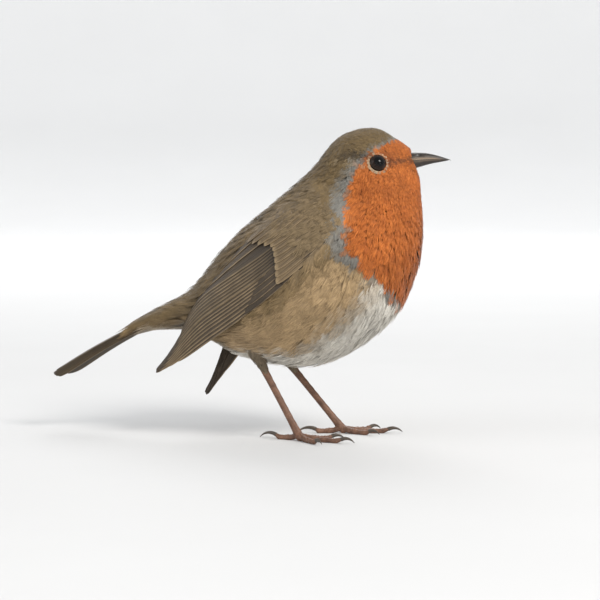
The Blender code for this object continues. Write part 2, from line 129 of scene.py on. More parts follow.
def noise(tree, scale, detail, place=None):
    """Cloudy noise over a piece's own coordinates, or over a place worked out from them."""
    inputs = {"Vector": place or own_place(tree), "Scale": scale, "Detail": detail}
    return add_node(tree, "TexNoise", inputs).outputs["Fac"]


def new_material(name, inputs):
    """A material with its main shader's plain sockets set; returns it, its tree and shader."""
    made = bpy.data.materials.new(name)
    made.use_nodes = True
    shader = made.node_tree.nodes["Principled BSDF"]
    for key, value in inputs.items():
        shader.inputs[key].default_value = value
    return made, made.node_tree, shader


def full_turn(count):
    """Angles that go evenly once round."""
    return np.arange(count) / count * 2 * math.pi


def numbered(*shape):
    """A grid of point numbers, counted row by row."""
    return np.arange(math.prod(shape)).reshape(shape)


def grid_faces(number, wrap=False):
    """Four-cornered faces over grids of point numbers; wrap joins the last column to the first."""
    if wrap:
        number = np.concatenate([number, number[..., :1]], -1)
    low, high = number[..., :-1, :], number[..., 1:, :]
    corners = (low[..., :-1], low[..., 1:], high[..., 1:], high[..., :-1])
    return np.stack(corners, -1).reshape(-1, 4)


def new_mesh(name, points, faces):
    """A smooth-shaded mesh from points in metres and a list of face arrays."""
    mesh = bpy.data.meshes.new(name)
    mesh.vertices.add(len(points))
    mesh.vertices.foreach_set("co", np.asarray(points, np.float32).ravel())
    loops = np.concatenate([part.ravel() for part in faces]).astype(np.int32)
    widths = np.concatenate([np.full(len(part), part.shape[1]) for part in faces])
    mesh.loops.add(len(loops))
    mesh.loops.foreach_set("vertex_index", loops)
    mesh.polygons.add(len(widths))
    mesh.polygons.foreach_set("loop_start", (np.cumsum(widths) - widths).astype(np.int32))
    mesh.update(calc_edges=True)
    mesh.validate()
    mesh.shade_smooth()
    return mesh


def new_object(name, points, faces, material=None):
    """An object in the scene, of one mesh and one material."""
    made = bpy.data.objects.new(name, new_mesh(name, points, faces))
    bpy.context.scene.collection.objects.link(made)
    if material:
        made.data.materials.append(material)
    return made


scene = bpy.context.scene
camera = bpy.data.objects.new("camera", bpy.data.cameras.new("camera"))
camera.data.lens, camera.data.sensor_width = LENS, SENSOR
camera.data.clip_start, camera.data.clip_end = CLIP
level = math.cos(CAMERA_ELEVATION)
towards_camera = Vector((
    math.sin(CAMERA_AZIMUTH) * level, -math.cos(CAMERA_AZIMUTH) * level, math.sin(CAMERA_ELEVATION),
))
aim(camera, LOOK_AT + towards_camera * CAMERA_AWAY, LOOK_AT)
scene.camera = camera

for name, place, side, watts, colour in LIGHTS:
    lamp = bpy.data.lights.new(name, "AREA")
    lamp.shape, lamp.size, lamp.energy, lamp.color = "DISK", side, watts, colour
    aim(bpy.data.objects.new(name, lamp), place, LOOK_AT)

scene.world = bpy.data.worlds.new("sky")
scene.world.use_nodes = True
sky = scene.world.node_tree.nodes["Background"]
sky.inputs["Color"].default_value, sky.inputs["Strength"].default_value = SKY_COLOUR, SKY_STRENGTH
scene.view_settings.view_transform = "Standard"

pale_floor, tree, shader = new_material("pale_floor", {"Roughness": 0.9})
away = add_node(tree, "VectorMath", {0: own_place(tree)}, operation="LENGTH").outputs["Value"]
shade = total(product(noise(tree, 9.0, 4.0), 0.04), rescale(away, *FLOOR_SHADES))
tint = add_node(tree, "CombineColor", {key: shade for key in ("Red", "Green", "Blue")})
tree.links.new(tint.outputs["Color"], shader.inputs["Base Color"])

# The floor's profile, as distance from the middle and height: level, a quarter round, upright. It
# is turned once round, and its innermost ring is closed by a fan to the middle.
bend = np.linspace(0, math.pi / 2, 16)
reach = np.append(FLOOR_RINGS[:-1], FLOOR_RINGS[-1] + BACKDROP_BEND * np.sin(bend))
height = np.append(np.zeros(len(FLOOR_RINGS) - 1), BACKDROP_BEND * (1 - np.cos(bend)))
reach, height = np.append(reach, reach[-1])[1:, None], np.append(height, BACKDROP_TOP)[1:, None]
turn = full_turn(72)
bowl = np.stack([reach * np.cos(turn), reach * np.sin(turn), height + 0 * turn], -1).reshape(-1, 3)
spoke = np.arange(len(turn))
fan = np.stack([np.full(len(turn), len(bowl)), spoke, (spoke + 1) % len(turn)], -1)
bowl_faces = grid_faces(numbered(len(reach), len(turn)), wrap=True)[:, ::-1]
floor = new_object("floor", np.append(bowl, [[0, 0, 0]], 0), [bowl_faces, fan], pale_floor)

# ---- Skin
# The bird's body under its feathers, in one closed piece from the bill's root to the tail's, with
# the two feathered thighs. It is soft skin in life. It lies inside the coat by the coat's depth
# and carries the same markings, so that no bare patch shows where feathers part.

RIGHT, LEFT = -1, 1
SECTIONS = np.array((  # back x, z; breast x, z; half width; widest share; sides swept back
    (34.0, 86.6, 36.3, 79.5, 3.2, 0.50, 0.9),
    (29.9, 89.4, 36.9, 77.6, 4.9, 0.52, 3.4),
    (23.0, 92.6, 37.4, 72.2, 7.8, 0.50, 2.8),
    (13.0, 90.0, 37.9, 66.0, 10.9, 0.47, 1.2),
    (4.3, 80.1, 38.0, 59.2, 14.2, 0.49, 0.0),
    (-7.3, 70.1, 36.2, 49.0, 19.8, 0.53, 0.0),
    (-19.0, 60.3, 28.4, 34.6, 23.4, 0.54, 0.0),
    (-27.6, 50.2, 8.6, 21.9, 20.4, 0.52, 0.0),
    (-33.4, 43.8, -13.8, 23.0, 13.0, 0.50, 0.0),
    (-41.4, 39.2, -31.5, 30.8, 7.4, 0.45, 0.0),
    (-49.6, 35.0, -47.6, 30.4, 4.8, 0.45, 0.0),
    (-57.4, 29.7, -57.0, 25.8, 5.2, 0.45, 0.0),  # the last two lie over the tail's root,
    (-65.4, 25.0, -65.2, 22.2, 5.7, 0.45, 0.0),  # for the coverts that reach over it
))
HEAD_TURN = math.radians(8)  # to its left, about an upright axis through the neck
TURN_AXIS_X, TURN_FADES = 12.0, (2.6, 5.2)
FACE_FRONT = 0.45  # how far the face runs on ahead of the first section
BILL_RIM = (35.55, 82.85, 2.0, 2.15, 0.75)  # where it ends on the bill: x, z, half sizes, lean
SKIN_END = 10.3  # the section where the skin ends, inside the tail's coverts
COAT_DEPTHS = (0.35, 0.5, 0.75, 1.1, 1.7, 2.2, 2.4, 2.4, 2.2, 1.5, 0.8, 0.3, 0.2)
THIGHS = {  # ankle, foot, side
    "right": ((-9.6, -10.0, 24.6), (3.2, -10.2, 1.4), RIGHT),
    "left": ((-6.2, 10.0, 22.4), (11.6, 10.2, 1.4), LEFT),
}
THIGH_RISE, THIGH_PAST_ANKLE = 12.5, 0.17  # millimetres up, and share of the shank below
THIGH_RADII, THIGH_COAT, THIGH_END = (5.2, 4.7, 3.7, 2.7, 1.9, 1.25), 1.3, 4.6
THIGH_SKIN = (0.0, 0.0, 0.25, 0.6)  # its shares of orange, grey, white and buff
EYE_STATION, EYE_ANGLE = 2.37, 1.48
EYE_RADIUS, EYE_OPENING = 3.0, 2.3
ORANGE_EDGE = np.array((  # height, and how far back the orange reaches at that height
    (37.6, 42.0), (39.2, 34.0), (41.2, 29.4), (44.2, 26.0), (48.0, 23.6), (53.0, 21.8),
    (58.0, 20.2), (64.0, 18.8), (70.0, 17.8), (76.0, 17.8), (80.0, 19.0), (83.0, 20.4),
    (85.0, 22.6), (86.6, 25.6), (88.6, 29.2), (90.4, 32.8), (92.0, 38.0),
)).T
BIB_ROUND = 0.03  # its lower edge rises at the sides by this much times y squared
GREY_WIDTH = np.array((  # height, and the grey band's width behind the orange there
    (36.0, 1.2), (42.0, 2.8), (50.0, 4.0), (60.0, 4.4), (70.0, 3.8), (78.0, 2.8), (84.0, 1.8),
    (92.0, 1.4),
)).T
STREAKS = (  # face lines, one a painted shadow: how dark (below zero: pale), x and z of both ends, thickness
    (0.62, (27.0, 82.7), (34.5, 82.9), 0.8),
    # painted shadow under the brow, above and behind the eye
    (0.75, (22.4, 84.4), (15.0, 84.9), 1.2),
    (0.20, (25.6, 85.2), (30.5, 84.6), 0.9),
    (-0.18, (21.6, 82.4), (11.5, 83.0), 0.5),
)
ORANGE, DEEP_ORANGE = (0.56, 0.170, 0.032, 1), (0.35, 0.078, 0.012, 1)
GREY, OLIVE = (0.204, 0.202, 0.186, 1), (0.160, 0.108, 0.048, 1)
WHITE, BUFF = (0.72, 0.68, 0.60, 1), (0.40, 0.275, 0.145, 1)
# The first colour on the next line darkens dark marks and painted shade alike; the second is the
# slaty down at feather roots.
DUSK_AND_SHADE, DOWN = (0.035, 0.028, 0.022, 1), (0.100, 0.090, 0.080, 1)
PALE = (0.62, 0.50, 0.33, 1)  # eye-rings and faint pale lines


def smooth_curve(values, at):
    """Catmull-Rom curve through evenly numbered values, read at the numbers in at."""
    values, at = np.asarray(values, float), np.asarray(at, float)
    start = np.clip(np.floor(at).astype(int), 0, len(values) - 2)
    step = at - start
    before, after = 2 * values[0] - values[1], 2 * values[-1] - values[-2]
    padded = np.concatenate([before[None], values, after[None]])
    p0, p1, p2, p3 = (padded[start + k] for k in range(4))
    if values.ndim > 1:
        step = step[..., None]
    return 0.5 * (
        2 * p1
        + (p2 - p0) * step
        + (2 * p0 - 5 * p1 + 4 * p2 - p3) * step**2
        + (3 * p1 - p0 - 3 * p2 + p3) * step**3
    )


def ease(x, low, high):
    """0 below low, 1 above high, and a smooth step between."""
    t = np.clip((np.asarray(x, float) - low) / (high - low), 0, 1)
    return t * t * (3 - 2 * t)


def bell(x, middle, wide):
    """1 at the middle, falling away to both sides as e to the power of minus x/wide squared."""
    return np.exp(-(((x - middle) / wide) ** 2))


def unit(vectors):
    """Vectors brought to length 1."""
    return vectors / np.linalg.norm(vectors, axis=-1, keepdims=True)


def dot(a, b):
    """The sum of two vectors' parts, multiplied one by one."""
    return (a * b).sum(-1)


def grid(*axes):
    """Arrays over every pairing of the axes' values, the first axis down the rows."""
    return np.meshgrid(*axes, indexing="ij")


def alike(*values):
    """Numbers or arrays as arrays of one shape."""
    return np.broadcast_arrays(*(np.asarray(value, float) for value in values))


def along_surface(way, normal):
    """A way without what of it leads out of a surface, to length 1."""
    return unit(way - normal * dot(way, normal)[..., None])


def turn_head(points, station):
    """Turns points about the neck's upright axis, fully at the face and not at all behind."""
    angle = HEAD_TURN * (1 - ease(station, *TURN_FADES))
    x, y = points[..., 0] - TURN_AXIS_X, points[..., 1]
    return np.stack([
        TURN_AXIS_X + x * np.cos(angle) - y * np.sin(angle),
        x * np.sin(angle) + y * np.cos(angle),
        points[..., 2],
    ], -1)


def body_surface(station, angle, turned=True):
    """The coat's outside. A section is two half ovals that meet where it is widest: its middle,
    plus the way to the back or breast line times the cosine of the angle, plus the half width
    times the sine. The angle runs from the back line (0) over the left side to the breast (pi).
    Ahead of the first section the rings shrink evenly to the rim on the bill."""
    station, angle = alike(station, angle)
    row = smooth_curve(SECTIONS, np.maximum(station, 0))
    back, breast, share = row[..., 0:2], row[..., 2:4], row[..., 5:6]
    middle = back + (breast - back) * share
    c, s = np.cos(angle), np.sin(angle)
    end = np.where(c[..., None] > 0, back - middle, breast - middle)
    place = middle + end * np.abs(c[..., None])
    points = np.stack([place[..., 0] - row[..., 6] * s**2, row[..., 4] * s, place[..., 1]], -1)
    rim_x, rim_z, rim_wide, rim_high, lean = BILL_RIM
    rim = np.stack([rim_x - lean * c, rim_wide * s, rim_z + rim_high * c], -1)
    points = points + (rim - points) * np.clip(-station / FACE_FRONT, 0, 1)[..., None]
    return turn_head(points, station) if turned else points


def thigh_surface(label):
    """The feathered thigh: round sections on a curve from inside the belly (station 0) down to
    the ankle (station 3) and a little way over the shank (station 5)."""
    ankle, foot, side = THIGHS[label]
    ankle, foot = np.array(ankle), np.array(foot)
    high = ankle + (-0.9, 0.45 * side, THIGH_RISE)
    low = ankle + (foot - ankle) * THIGH_PAST_ANKLE
    thigh = [high + (ankle - high) * share for share in (0, 1 / 3, 2 / 3)]
    middles = [*thigh, ankle + (0.2, 0, 0.3), (ankle + low) / 2, low]

    def surface(station, angle):
        station, angle = alike(station, angle)
        radius = smooth_curve(THIGH_RADII, station)[..., None]
        round_it = np.stack([np.cos(angle), -np.sin(angle), np.zeros(angle.shape)], -1)
        return smooth_curve(middles, station) + radius * round_it

    return surface


def surface_frame(surface, station, angle, step=1e-3):
    """A surface's place, its steps per station and per radian, and its outward normal."""
    back = (surface(station + step, angle) - surface(station - step, angle)) / (2 * step)
    across = (surface(station, angle + step) - surface(station, angle - step)) / (2 * step)
    return surface(station, angle), back, across, unit(np.cross(across, back))


def eye_place(side):
    """The eye's place on the coat's outside, the way out of it, and the eyeball's centre, which
    lies straight under it by as much as leaves an opening of the stated radius."""
    place, _, _, outward = surface_frame(body_surface, EYE_STATION, side * EYE_ANGLE)
    return place, outward, place - outward * math.sqrt(EYE_RADIUS**2 - EYE_OPENING**2)


# The drawn-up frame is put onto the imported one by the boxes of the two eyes.
eye_boxes = np.array([
    [list(corner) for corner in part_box(f"eye_{label}")] for label in ("right", "left")
])
eye_centres = np.array([eye_place(side)[2] for side in (RIGHT, LEFT)])
TO_FRAME = (eye_boxes.mean(1) - eye_centres * MM).mean(0) * (1, 0, 0)


def add_piece(name, points, faces, material, slot, replaced=()):
    """A piece of the bird from points in millimetres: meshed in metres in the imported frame,
    given its material, and set to ride on the one body."""
    points = np.asarray(points, float).reshape(-1, 3) * MM + TO_FRAME
    made = new_object(name, points, faces, material)
    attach(made, "root")
    if replaced:
        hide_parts(*replaced)
    return made


def store(made, name, values, kind="FLOAT_COLOR"):
    """Stores numbers for each point of a mesh, for its material to read: four, or one."""
    layer = made.data.attributes.new(name, kind, "POINT")
    field = "color" if kind == "FLOAT_COLOR" else "value"
    layer.data.foreach_set(field, np.asarray(values, np.float32).ravel())


def closed_tube(rings):
    """A tube through rings of points, closed by a point in the middle of each end ring, with
    its faces turned outwards: the sign of its volume says which way they point."""
    rings = np.asarray(rings, float)
    count, sides = rings.shape[:2]
    points = np.concatenate([rings.reshape(-1, 3), rings[0].mean(0)[None], rings[-1].mean(0)[None]])
    edge = np.arange(sides)
    after = (edge + 1) % sides
    last = (count - 1) * sides
    faces = [
        grid_faces(numbered(count, sides), wrap=True),
        np.stack([np.full(sides, count * sides), after, edge], -1),
        np.stack([np.full(sides, count * sides + 1), edge + last, after + last], -1),
    ]
    around = points - points.mean(0)
    volume = sum(
        dot(around[part[:, 0]], np.cross(around[part[:, k]], around[part[:, k + 1]])).sum()
        for part in faces for k in range(1, part.shape[1] - 1)
    )
    return points, faces if volume >= 0 else [part[:, ::-1] for part in faces]


def join(parts):
    """Several (points, faces) as one, numbered on."""
    points, faces, first = [], [], 0
    for part_points, part_faces in parts:
        points.append(part_points)
        faces += [part + first for part in part_faces]
        first += len(part_points)
    return np.concatenate(points), faces


def streak(x, z, start, end, thick):
    """1 on a line in the side view and falling away from it as a bell of that thickness."""
    start, end = np.array(start), np.array(end)
    way = end - start
    share = np.clip(((x - start[0]) * way[0] + (z - start[1]) * way[1]) / (way @ way), 0, 1)
    return bell(np.hypot(x - start[0] - share * way[0], z - start[1] - share * way[1]), 0, thick)


def markings(station, angle):
    """Shares of orange, grey, white and buff at a place, where what is left is olive brown; and
    how dark it is there, from dark marks and from painted shadow under the brow (below zero:
    how pale). Read from the side view of the unturned bird."""
    x, y, z = np.moveaxis(body_surface(station, angle, turned=False), -1, 0)
    under = np.abs((angle % (2 * math.pi)) - math.pi)
    edge = np.interp(z - BIB_ROUND * y**2 * (1 - ease(z, 46.0, 60.0)), *ORANGE_EDGE)
    orange = ease(x - edge, -0.9, 0.7)
    band = np.interp(z, *GREY_WIDTH)
    grey = 0.85 * ease(x - edge + band, -2.4, 1.2) * (1 - orange) * ease(z, 37.0, 43.0)
    rest = (1 - orange) * (1 - grey) * ease(station, 4.7, 5.6)
    vent = ease(station, 8.0, 9.2)
    white = rest * (1 - ease(under, 0.55, 1.05) * (1 - vent))
    white = white * (1 - ease(under + 0.35 * vent, 1.05, 1.5))
    buff = rest * ease(under, 0.5, 1.0) * (1 - ease(under, 1.4, 1.8)) * (1 - 0.8 * vent)
    buff, white = buff + 0.6 * vent * white, (1 - 0.7 * vent) * white
    dusk_and_shade = sum(strength * streak(x, z, *line) for strength, *line in STREAKS)
    return np.stack([orange, grey, white, buff], -1), dusk_and_shade * (np.cos(angle) > -0.9)


def mix_colour(share, a, b, blend="MIX"):
    """Mixes two colours; each may be a value or a socket."""
    tree = tree_of(share, a, b)
    made = tree.nodes.new("ShaderNodeMix")
    made.data_type, made.blend_type = "RGBA", blend
    for index, value in ((0, share), (6, a), (7, b)):
        if isinstance(value, bpy.types.NodeSocket):
            tree.links.new(value, made.inputs[index])
        else:
            made.inputs[index].default_value = value
    return made.outputs[2]


def brighten(colour, tone):
    """A colour times one number."""
    grey = add_node(tree_of(tone), "CombineXYZ", {0: tone, 1: tone, 2: tone}).outputs[0]
    return mix_colour(1.0, colour, grey, "MULTIPLY")


def swing(value, gain):
    """A number from 0 to 1, counted from its middle, times a gain."""
    return product(calculate("SUBTRACT", value, 0.5), gain)


def cells(tree, scale):
    """How far a place lies from the middle of its cell, in a pattern of small cells."""
    inputs = {"Vector": own_place(tree), "Scale": scale}
    return add_node(tree, "TexVoronoi", inputs).outputs["Distance"]


def stored(tree, name):
    """The four numbers that a mesh stores under a name."""
    read = add_node(tree, "Attribute", attribute_name=name)
    parts = add_node(tree, "SeparateColor", {"Color": read.outputs["Color"]})
    return (*(parts.outputs[key] for key in ("Red", "Green", "Blue")), read.outputs["Alpha"])


def finish(tree, shader, colour=None, gloss=None, height=None, strength=0.0, deep=0.0):
    """Links a colour and a roughness to a shader, and roughs it up by a height."""
    if height:
        bump = {"Height": height, "Strength": strength, "Distance": deep * MM}
        height = add_node(tree, "Bump", bump).outputs["Normal"]
    for socket, key in ((colour, "Base Color"), (gloss, "Roughness"), (height, "Normal")):
        if socket:
            tree.links.new(socket, shader.inputs[key])


def new_group(name, inputs, outputs):
    """An empty node group with number inputs (name: start value) and named outputs."""
    group = bpy.data.node_groups.new(name, "ShaderNodeTree")
    for key, value in inputs.items():
        made = group.interface.new_socket(key, in_out="INPUT", socket_type="NodeSocketFloat")
        made.default_value = value
    for key, kind in outputs.items():
        group.interface.new_socket(key, in_out="OUTPUT", socket_type="NodeSocket" + kind)
    given, out = group.nodes.new("NodeGroupInput"), group.nodes.new("NodeGroupOutput")
    return group, [given.outputs[key] for key in inputs], out


def plumage_group():
    """The coat's colours. 'zones' holds the shares of orange, grey, white and buff over olive
    brown; 'barb' holds how far along its feather a point is, the barb's own tone and, last, how
    dark it is from dark marks and painted shade (below zero: how pale). Feathers are slaty and
    downy at their roots."""
    group, (spread, root_shade), out = new_group(
        "plumage", {"Tone spread": 0.5, "Root shade": 0.8}, {"Colour": "Color"}
    )
    orange_share, grey_share, white_share, buff_share = stored(group, "zones")
    along, tone, _, dusk_and_shade = stored(group, "barb")
    colour = mix_colour(buff_share, OLIVE, BUFF)
    orange = mix_colour(tone, DEEP_ORANGE, ORANGE)
    for share, over in ((white_share, WHITE), (grey_share, GREY), (orange_share, orange)):
        colour = mix_colour(share, colour, over)
    patch, grain = (
        swing(noise(group, scale, detail), gain)
        for scale, detail, gain in ((160.0, 3.0, 0.7), (1500.0, 2.0, 0.5))
    )
    colour = brighten(colour, total(swing(tone, spread), patch, grain, 1.0))
    root = calculate("SUBTRACT", 1.0, along, clamp=True)
    root = product(calculate("POWER", root, 1.6), root_shade)
    colour = mix_colour(root, colour, DOWN)
    # Dark marks and painted shade are mixed towards one dark colour; below zero, towards pale.
    for share, over in ((product(dusk_and_shade, -1.0), PALE), (dusk_and_shade, DUSK_AND_SHADE)):
        share = calculate("MAXIMUM", share, 0.0, clamp=True)
        colour = mix_colour(share, colour, over)
    group.links.new(colour, out.inputs["Colour"])
    return group


def add_group(tree, group, values):
    """Places a node group in a material with its own values."""
    made = tree.nodes.new("ShaderNodeGroup")
    made.node_tree = group
    for key, value in values.items():
        made.inputs[key].default_value = value
    return made


plumage = plumage_group()


def feather_material(name, tone_spread, root_shade, roughness):
    """Soft matt feather: the coat's colours on a rough surface with a little sheen."""
    made, tree, shader = new_material(name, {
        "Roughness": roughness, "Specular IOR Level": 0.25,
        "Sheen Weight": 0.12, "Sheen Roughness": 0.45,
    })
    look = add_group(tree, plumage, {"Tone spread": tone_spread, "Root shade": root_shade})
    finish(tree, shader, look.outputs["Colour"])
    return made, tree, shader


down_skin, tree, shader = feather_material("downy_skin", 0.0, 0.55, 0.95)
finish(tree, shader, height=cells(tree, 1400.0), strength=0.4, deep=0.2)

station, angle = grid(np.linspace(-FACE_FRONT, SKIN_END, 150), full_turn(96))
place, _, _, outward = surface_frame(body_surface, station, angle)
depth = smooth_curve(COAT_DEPTHS, np.maximum(station, 0))
skin_parts = [closed_tube(place - outward * depth[..., None])]
zones, dusk_and_shade = markings(station, angle)
skin_zones = [zones.reshape(-1, 4), zones[[0, -1]].mean(1)]
skin_dusk_and_shade = [dusk_and_shade.ravel(), dusk_and_shade[[0, -1]].mean(1)]
for label in THIGHS:
    station, angle = grid(np.linspace(0, THIGH_END, 24), full_turn(24))
    place, _, _, outward = surface_frame(thigh_surface(label), station, angle)
    depth = np.minimum(THIGH_COAT, 0.45 * smooth_curve(THIGH_RADII, station))
    part = closed_tube(place - outward * depth[..., None])
    skin_parts.append(part)
    skin_zones.append(np.tile(THIGH_SKIN, (len(part[0]), 1)))
    skin_dusk_and_shade.append(np.zeros(len(part[0])))
skin = add_piece(
    "skin", *join(skin_parts), down_skin, "body_feather",
    ("head", "neck", "trunk", "thigh_right", "thigh_left"),
)
store(skin, "zones", np.concatenate(skin_zones))
skin_dusk_and_shade = np.concatenate(skin_dusk_and_shade)
half = np.full(len(skin_dusk_and_shade), 0.5)
store(skin, "barb", np.stack([half, half, 0 * half, skin_dusk_and_shade], -1))

# ---- Folded wings' places
# Where the two folded wings lie over the body, read from side to side: the coat leaves out the
# feathers that a wing hides, and lays those round its edges over it.

WING_LOWER = (  # the wing's lower and upper edge, from the wrist to the tip, for the left side
    (19.3, 16.6, 67.0), (11.0, 21.8, 56.4), (-1.0, 23.6, 45.2), (-12.6, 20.6, 36.2),
    (-24.0, 16.6, 28.8), (-32.8, 13.9, 22.9), (-39.9, 12.1, 18.2),
)
WING_UPPER = (
    (7.0, 11.6, 76.6), (-1.8, 12.6, 69.4), (-10.6, 12.0, 61.6), (-19.4, 10.4, 52.4),
    (-27.4, 8.8, 43.2), (-34.3, 10.0, 31.2), (-41.0, 12.0, 19.4),
)
WING_BULGE = (1.8, 3.0, 4.0, 4.0, 2.6, 1.0, 0.1)
LEFT_WING_DROOP, WING_PIVOT = math.radians(9.9), (15.0, 0.0, 69.0)
LEFT_WING_NARROWER = 0.32  # its primaries are folded closer: this share off the lower edge
CELL, CELLS, MAP_LEFT = 0.4, 240, -60.0  # of the map from a side view onto a wing
MAP_BLURS = 4
BESIDE = ((1, 0), (-1, 0), (0, 1), (0, -1))
EDGE_REACH = 6.0  # how far round a wing the coat swells to meet it
CLOSE_UNDER = 7.0  # a wing hides the coat when it is no further out than this
ON_WING = 0.25  # a place this little outside a wing's edge counts as on it
LIES_OVER = 0.5  # how far a feather on a wing lies outside it


def droop(vectors):
    """Turns vectors about a level axis across the body, so that what points back points down."""
    c, s = math.cos(LEFT_WING_DROOP), math.sin(LEFT_WING_DROOP)
    x, y, z = np.moveaxis(vectors, -1, 0)
    return np.stack([x * c - z * s, y, x * s + z * c], -1)


def wing_surface(s, t, side):
    """The folded wing's outside. s runs from wrist to tip and t from the lower edge to the upper:
    the straight line between the edges, plus an arc of 4 t (1 - t) bulges out of their plane."""
    s, t = alike(s, t)
    at = s * (len(WING_LOWER) - 1)
    lower, upper = smooth_curve(WING_LOWER, at), smooth_curve(WING_UPPER, at)
    if side == LEFT:
        lower = lower + (upper - lower) * LEFT_WING_NARROWER * ease(s, 0.3, 0.75)[..., None]
    along = smooth_curve(WING_LOWER, at + 0.05) - smooth_curve(WING_LOWER, at - 0.05)
    out = unit(np.cross(upper - lower, along))
    out = out * np.sign(out[..., 1:2])
    t = t[..., None]
    bulge = smooth_curve(WING_BULGE, at)[..., None] * 4 * t * (1 - t)
    points = lower + (upper - lower) * t + out * bulge
    return points * (1, -1, 1) if side == RIGHT else droop(points - WING_PIVOT) + WING_PIVOT


def wing_map(side):
    """For each cell of a side view, the s, t and y of the wing seen there and 0. The cells round
    the wing take a neighbour's numbers, ring by ring, and last how far out they lie. Then y and
    that distance are blurred a few times: each is set to the mean of itself and its neighbours."""
    s, t = grid(np.linspace(0, 1, 640), np.linspace(0, 1, 320))
    place = wing_surface(s, t, side)
    mapped = np.full((CELLS, CELLS, 4), np.nan)
    column, row = (place[..., 0] - MAP_LEFT) / CELL, place[..., 2] / CELL
    mapped[column.astype(int), row.astype(int)] = np.stack([s, t, place[..., 1], 0 * s], -1)
    for ring in range(1, int(EDGE_REACH / CELL) + 1):
        known = mapped.copy()
        for shift in BESIDE:
            near = np.roll(known, shift, (0, 1))
            taken = np.isnan(mapped[..., 0]) & ~np.isnan(near[..., 0])
            mapped[taken] = near[taken]
            mapped[taken, 3] = ring * CELL
    mapped = np.nan_to_num(mapped, nan=EDGE_REACH)
    for _ in range(MAP_BLURS):
        near = sum(np.roll(mapped, shift, (0, 1)) for shift in BESIDE)
        mapped[..., 2:] = (mapped[..., 2:] + near[..., 2:]) / 5
    return mapped


WING_MAPS = np.stack([wing_map(RIGHT), wing_map(LEFT)])


def over_wing(points):
    """The s, t and y of the wing beside each point on the same side of the bird, and how far the
    point lies outside it, read evenly between the map's four nearest cells."""
    at = np.stack([points[..., 0] - MAP_LEFT, points[..., 2]], -1) / CELL - 0.5
    cell = np.clip(np.floor(at).astype(int), 0, CELLS - 2)
    share = np.clip(at - cell, 0, 1)
    side = (points[..., 1] > 0).astype(int)
    seen = 0
    for column, row in ((0, 0), (1, 0), (0, 1), (1, 1)):
        weight = np.abs(1 - column - share[..., 0]) * np.abs(1 - row - share[..., 1])
        found = WING_MAPS[side, cell[..., 0] + column, cell[..., 1] + row]
        seen = seen + found * weight[..., None]
    return np.moveaxis(seen, -1, 0)


# ---- Coat
# Some thousands of small contour feathers, each a fan of soft barbs round a short shaft, rooted
# in the skin and lying back over the next ones, smallest on the face. Their tips make the outside
# of the bird. They are laid tract by tract: face, head, neck, breast, belly, back, rump, thighs.

# Feather length by section, at the back line, at the side and at the breast line.
LENGTHS = np.array((
    (1.5, 1.5, 1.6), (1.9, 1.8, 2.0), (2.5, 2.2, 2.6), (3.2, 2.9, 3.4), (4.4, 4.2, 4.6),
    (6.0, 6.0, 6.0), (7.0, 7.2, 7.4), (7.6, 8.2, 8.0), (8.0, 8.2, 8.4), (8.6, 7.8, 8.6),
    (11.0, 8.0, 9.8),
))
SLENDER = 0.46  # width as a share of length
FACE_WIDER, BODY_WIDER = 1.25, 1.1  # and how much wider they are laid than they are spread
LAYERS, THIGH_LAYERS = 5.2, 5.0  # how many feathers lie over each other at a place
EYE_ROOM, EYE_GAP = 2.62, 0.25  # no root lies nearer to the eye; tips keep the gap from its rim
SHORTEST = 0.7  # a feather cut shorter than this by the eye is left out
COAT_SPAN, COAT_FRAYS = (-0.42, 9.98), 0.45  # first and last root; the last ones lie unevenly
UNDER_WING = (0.05, 0.05, 0.94)  # the wing hides roots from this s on, and between these t
RIDES_FROM, RIDES_AHEAD = 1.35, 6.0  # angle and section where feathers ride over the wings
COLOUR_BEHIND, COLOUR_STRAYS = 0.6, 0.15  # in lengths, from the root to where a colour is read
BARB_TONES, FEATHER_TONES = 0.12, 0.08  # how much barbs and whole feathers differ in tone
GOLDEN = np.array((0.7548776662466927, 0.5698402909980532))  # steps that fill a square evenly
TRACTS = (  # name, first and last section, angle from the breast line, barbs, joints, slot
    ("coat_face", (-0.4, 1.9), (0.0, 3.2), 9, 4, "face_feather"),
    ("coat_head", (1.9, 3.1), (0.0, 3.2), 10, 4, "face_feather"),
    ("coat_neck", (3.1, 4.3), (0.0, 3.2), 12, 5, "face_feather"),
    ("coat_breast", (4.3, 6.3), (0.0, 1.45), 15, 5, "body_feather"),
    ("coat_belly", (6.3, 9.95), (0.0, 1.45), 15, 5, "body_feather"),
    ("coat_back", (4.3, 7.2), (1.45, 3.2), 15, 5, "body_feather"),
    ("coat_rump", (7.2, 9.95), (1.45, 3.2), 15, 5, "body_feather"),
)
random = np.random.default_rng(11)
coat_feather, _, _ = feather_material("coat_feather", 0.6, 0.38, 0.75)


def feather_length(station, angle):
    """Read along the body from LENGTHS, and round it by the cosine of the angle."""
    row = smooth_curve(LENGTHS, np.clip(station, 0, 10))
    c = np.cos(angle)
    end = np.where(c > 0, row[..., 0], row[..., 2])
    return row[..., 1] + (end - row[..., 1]) * np.abs(c) ** 1.5


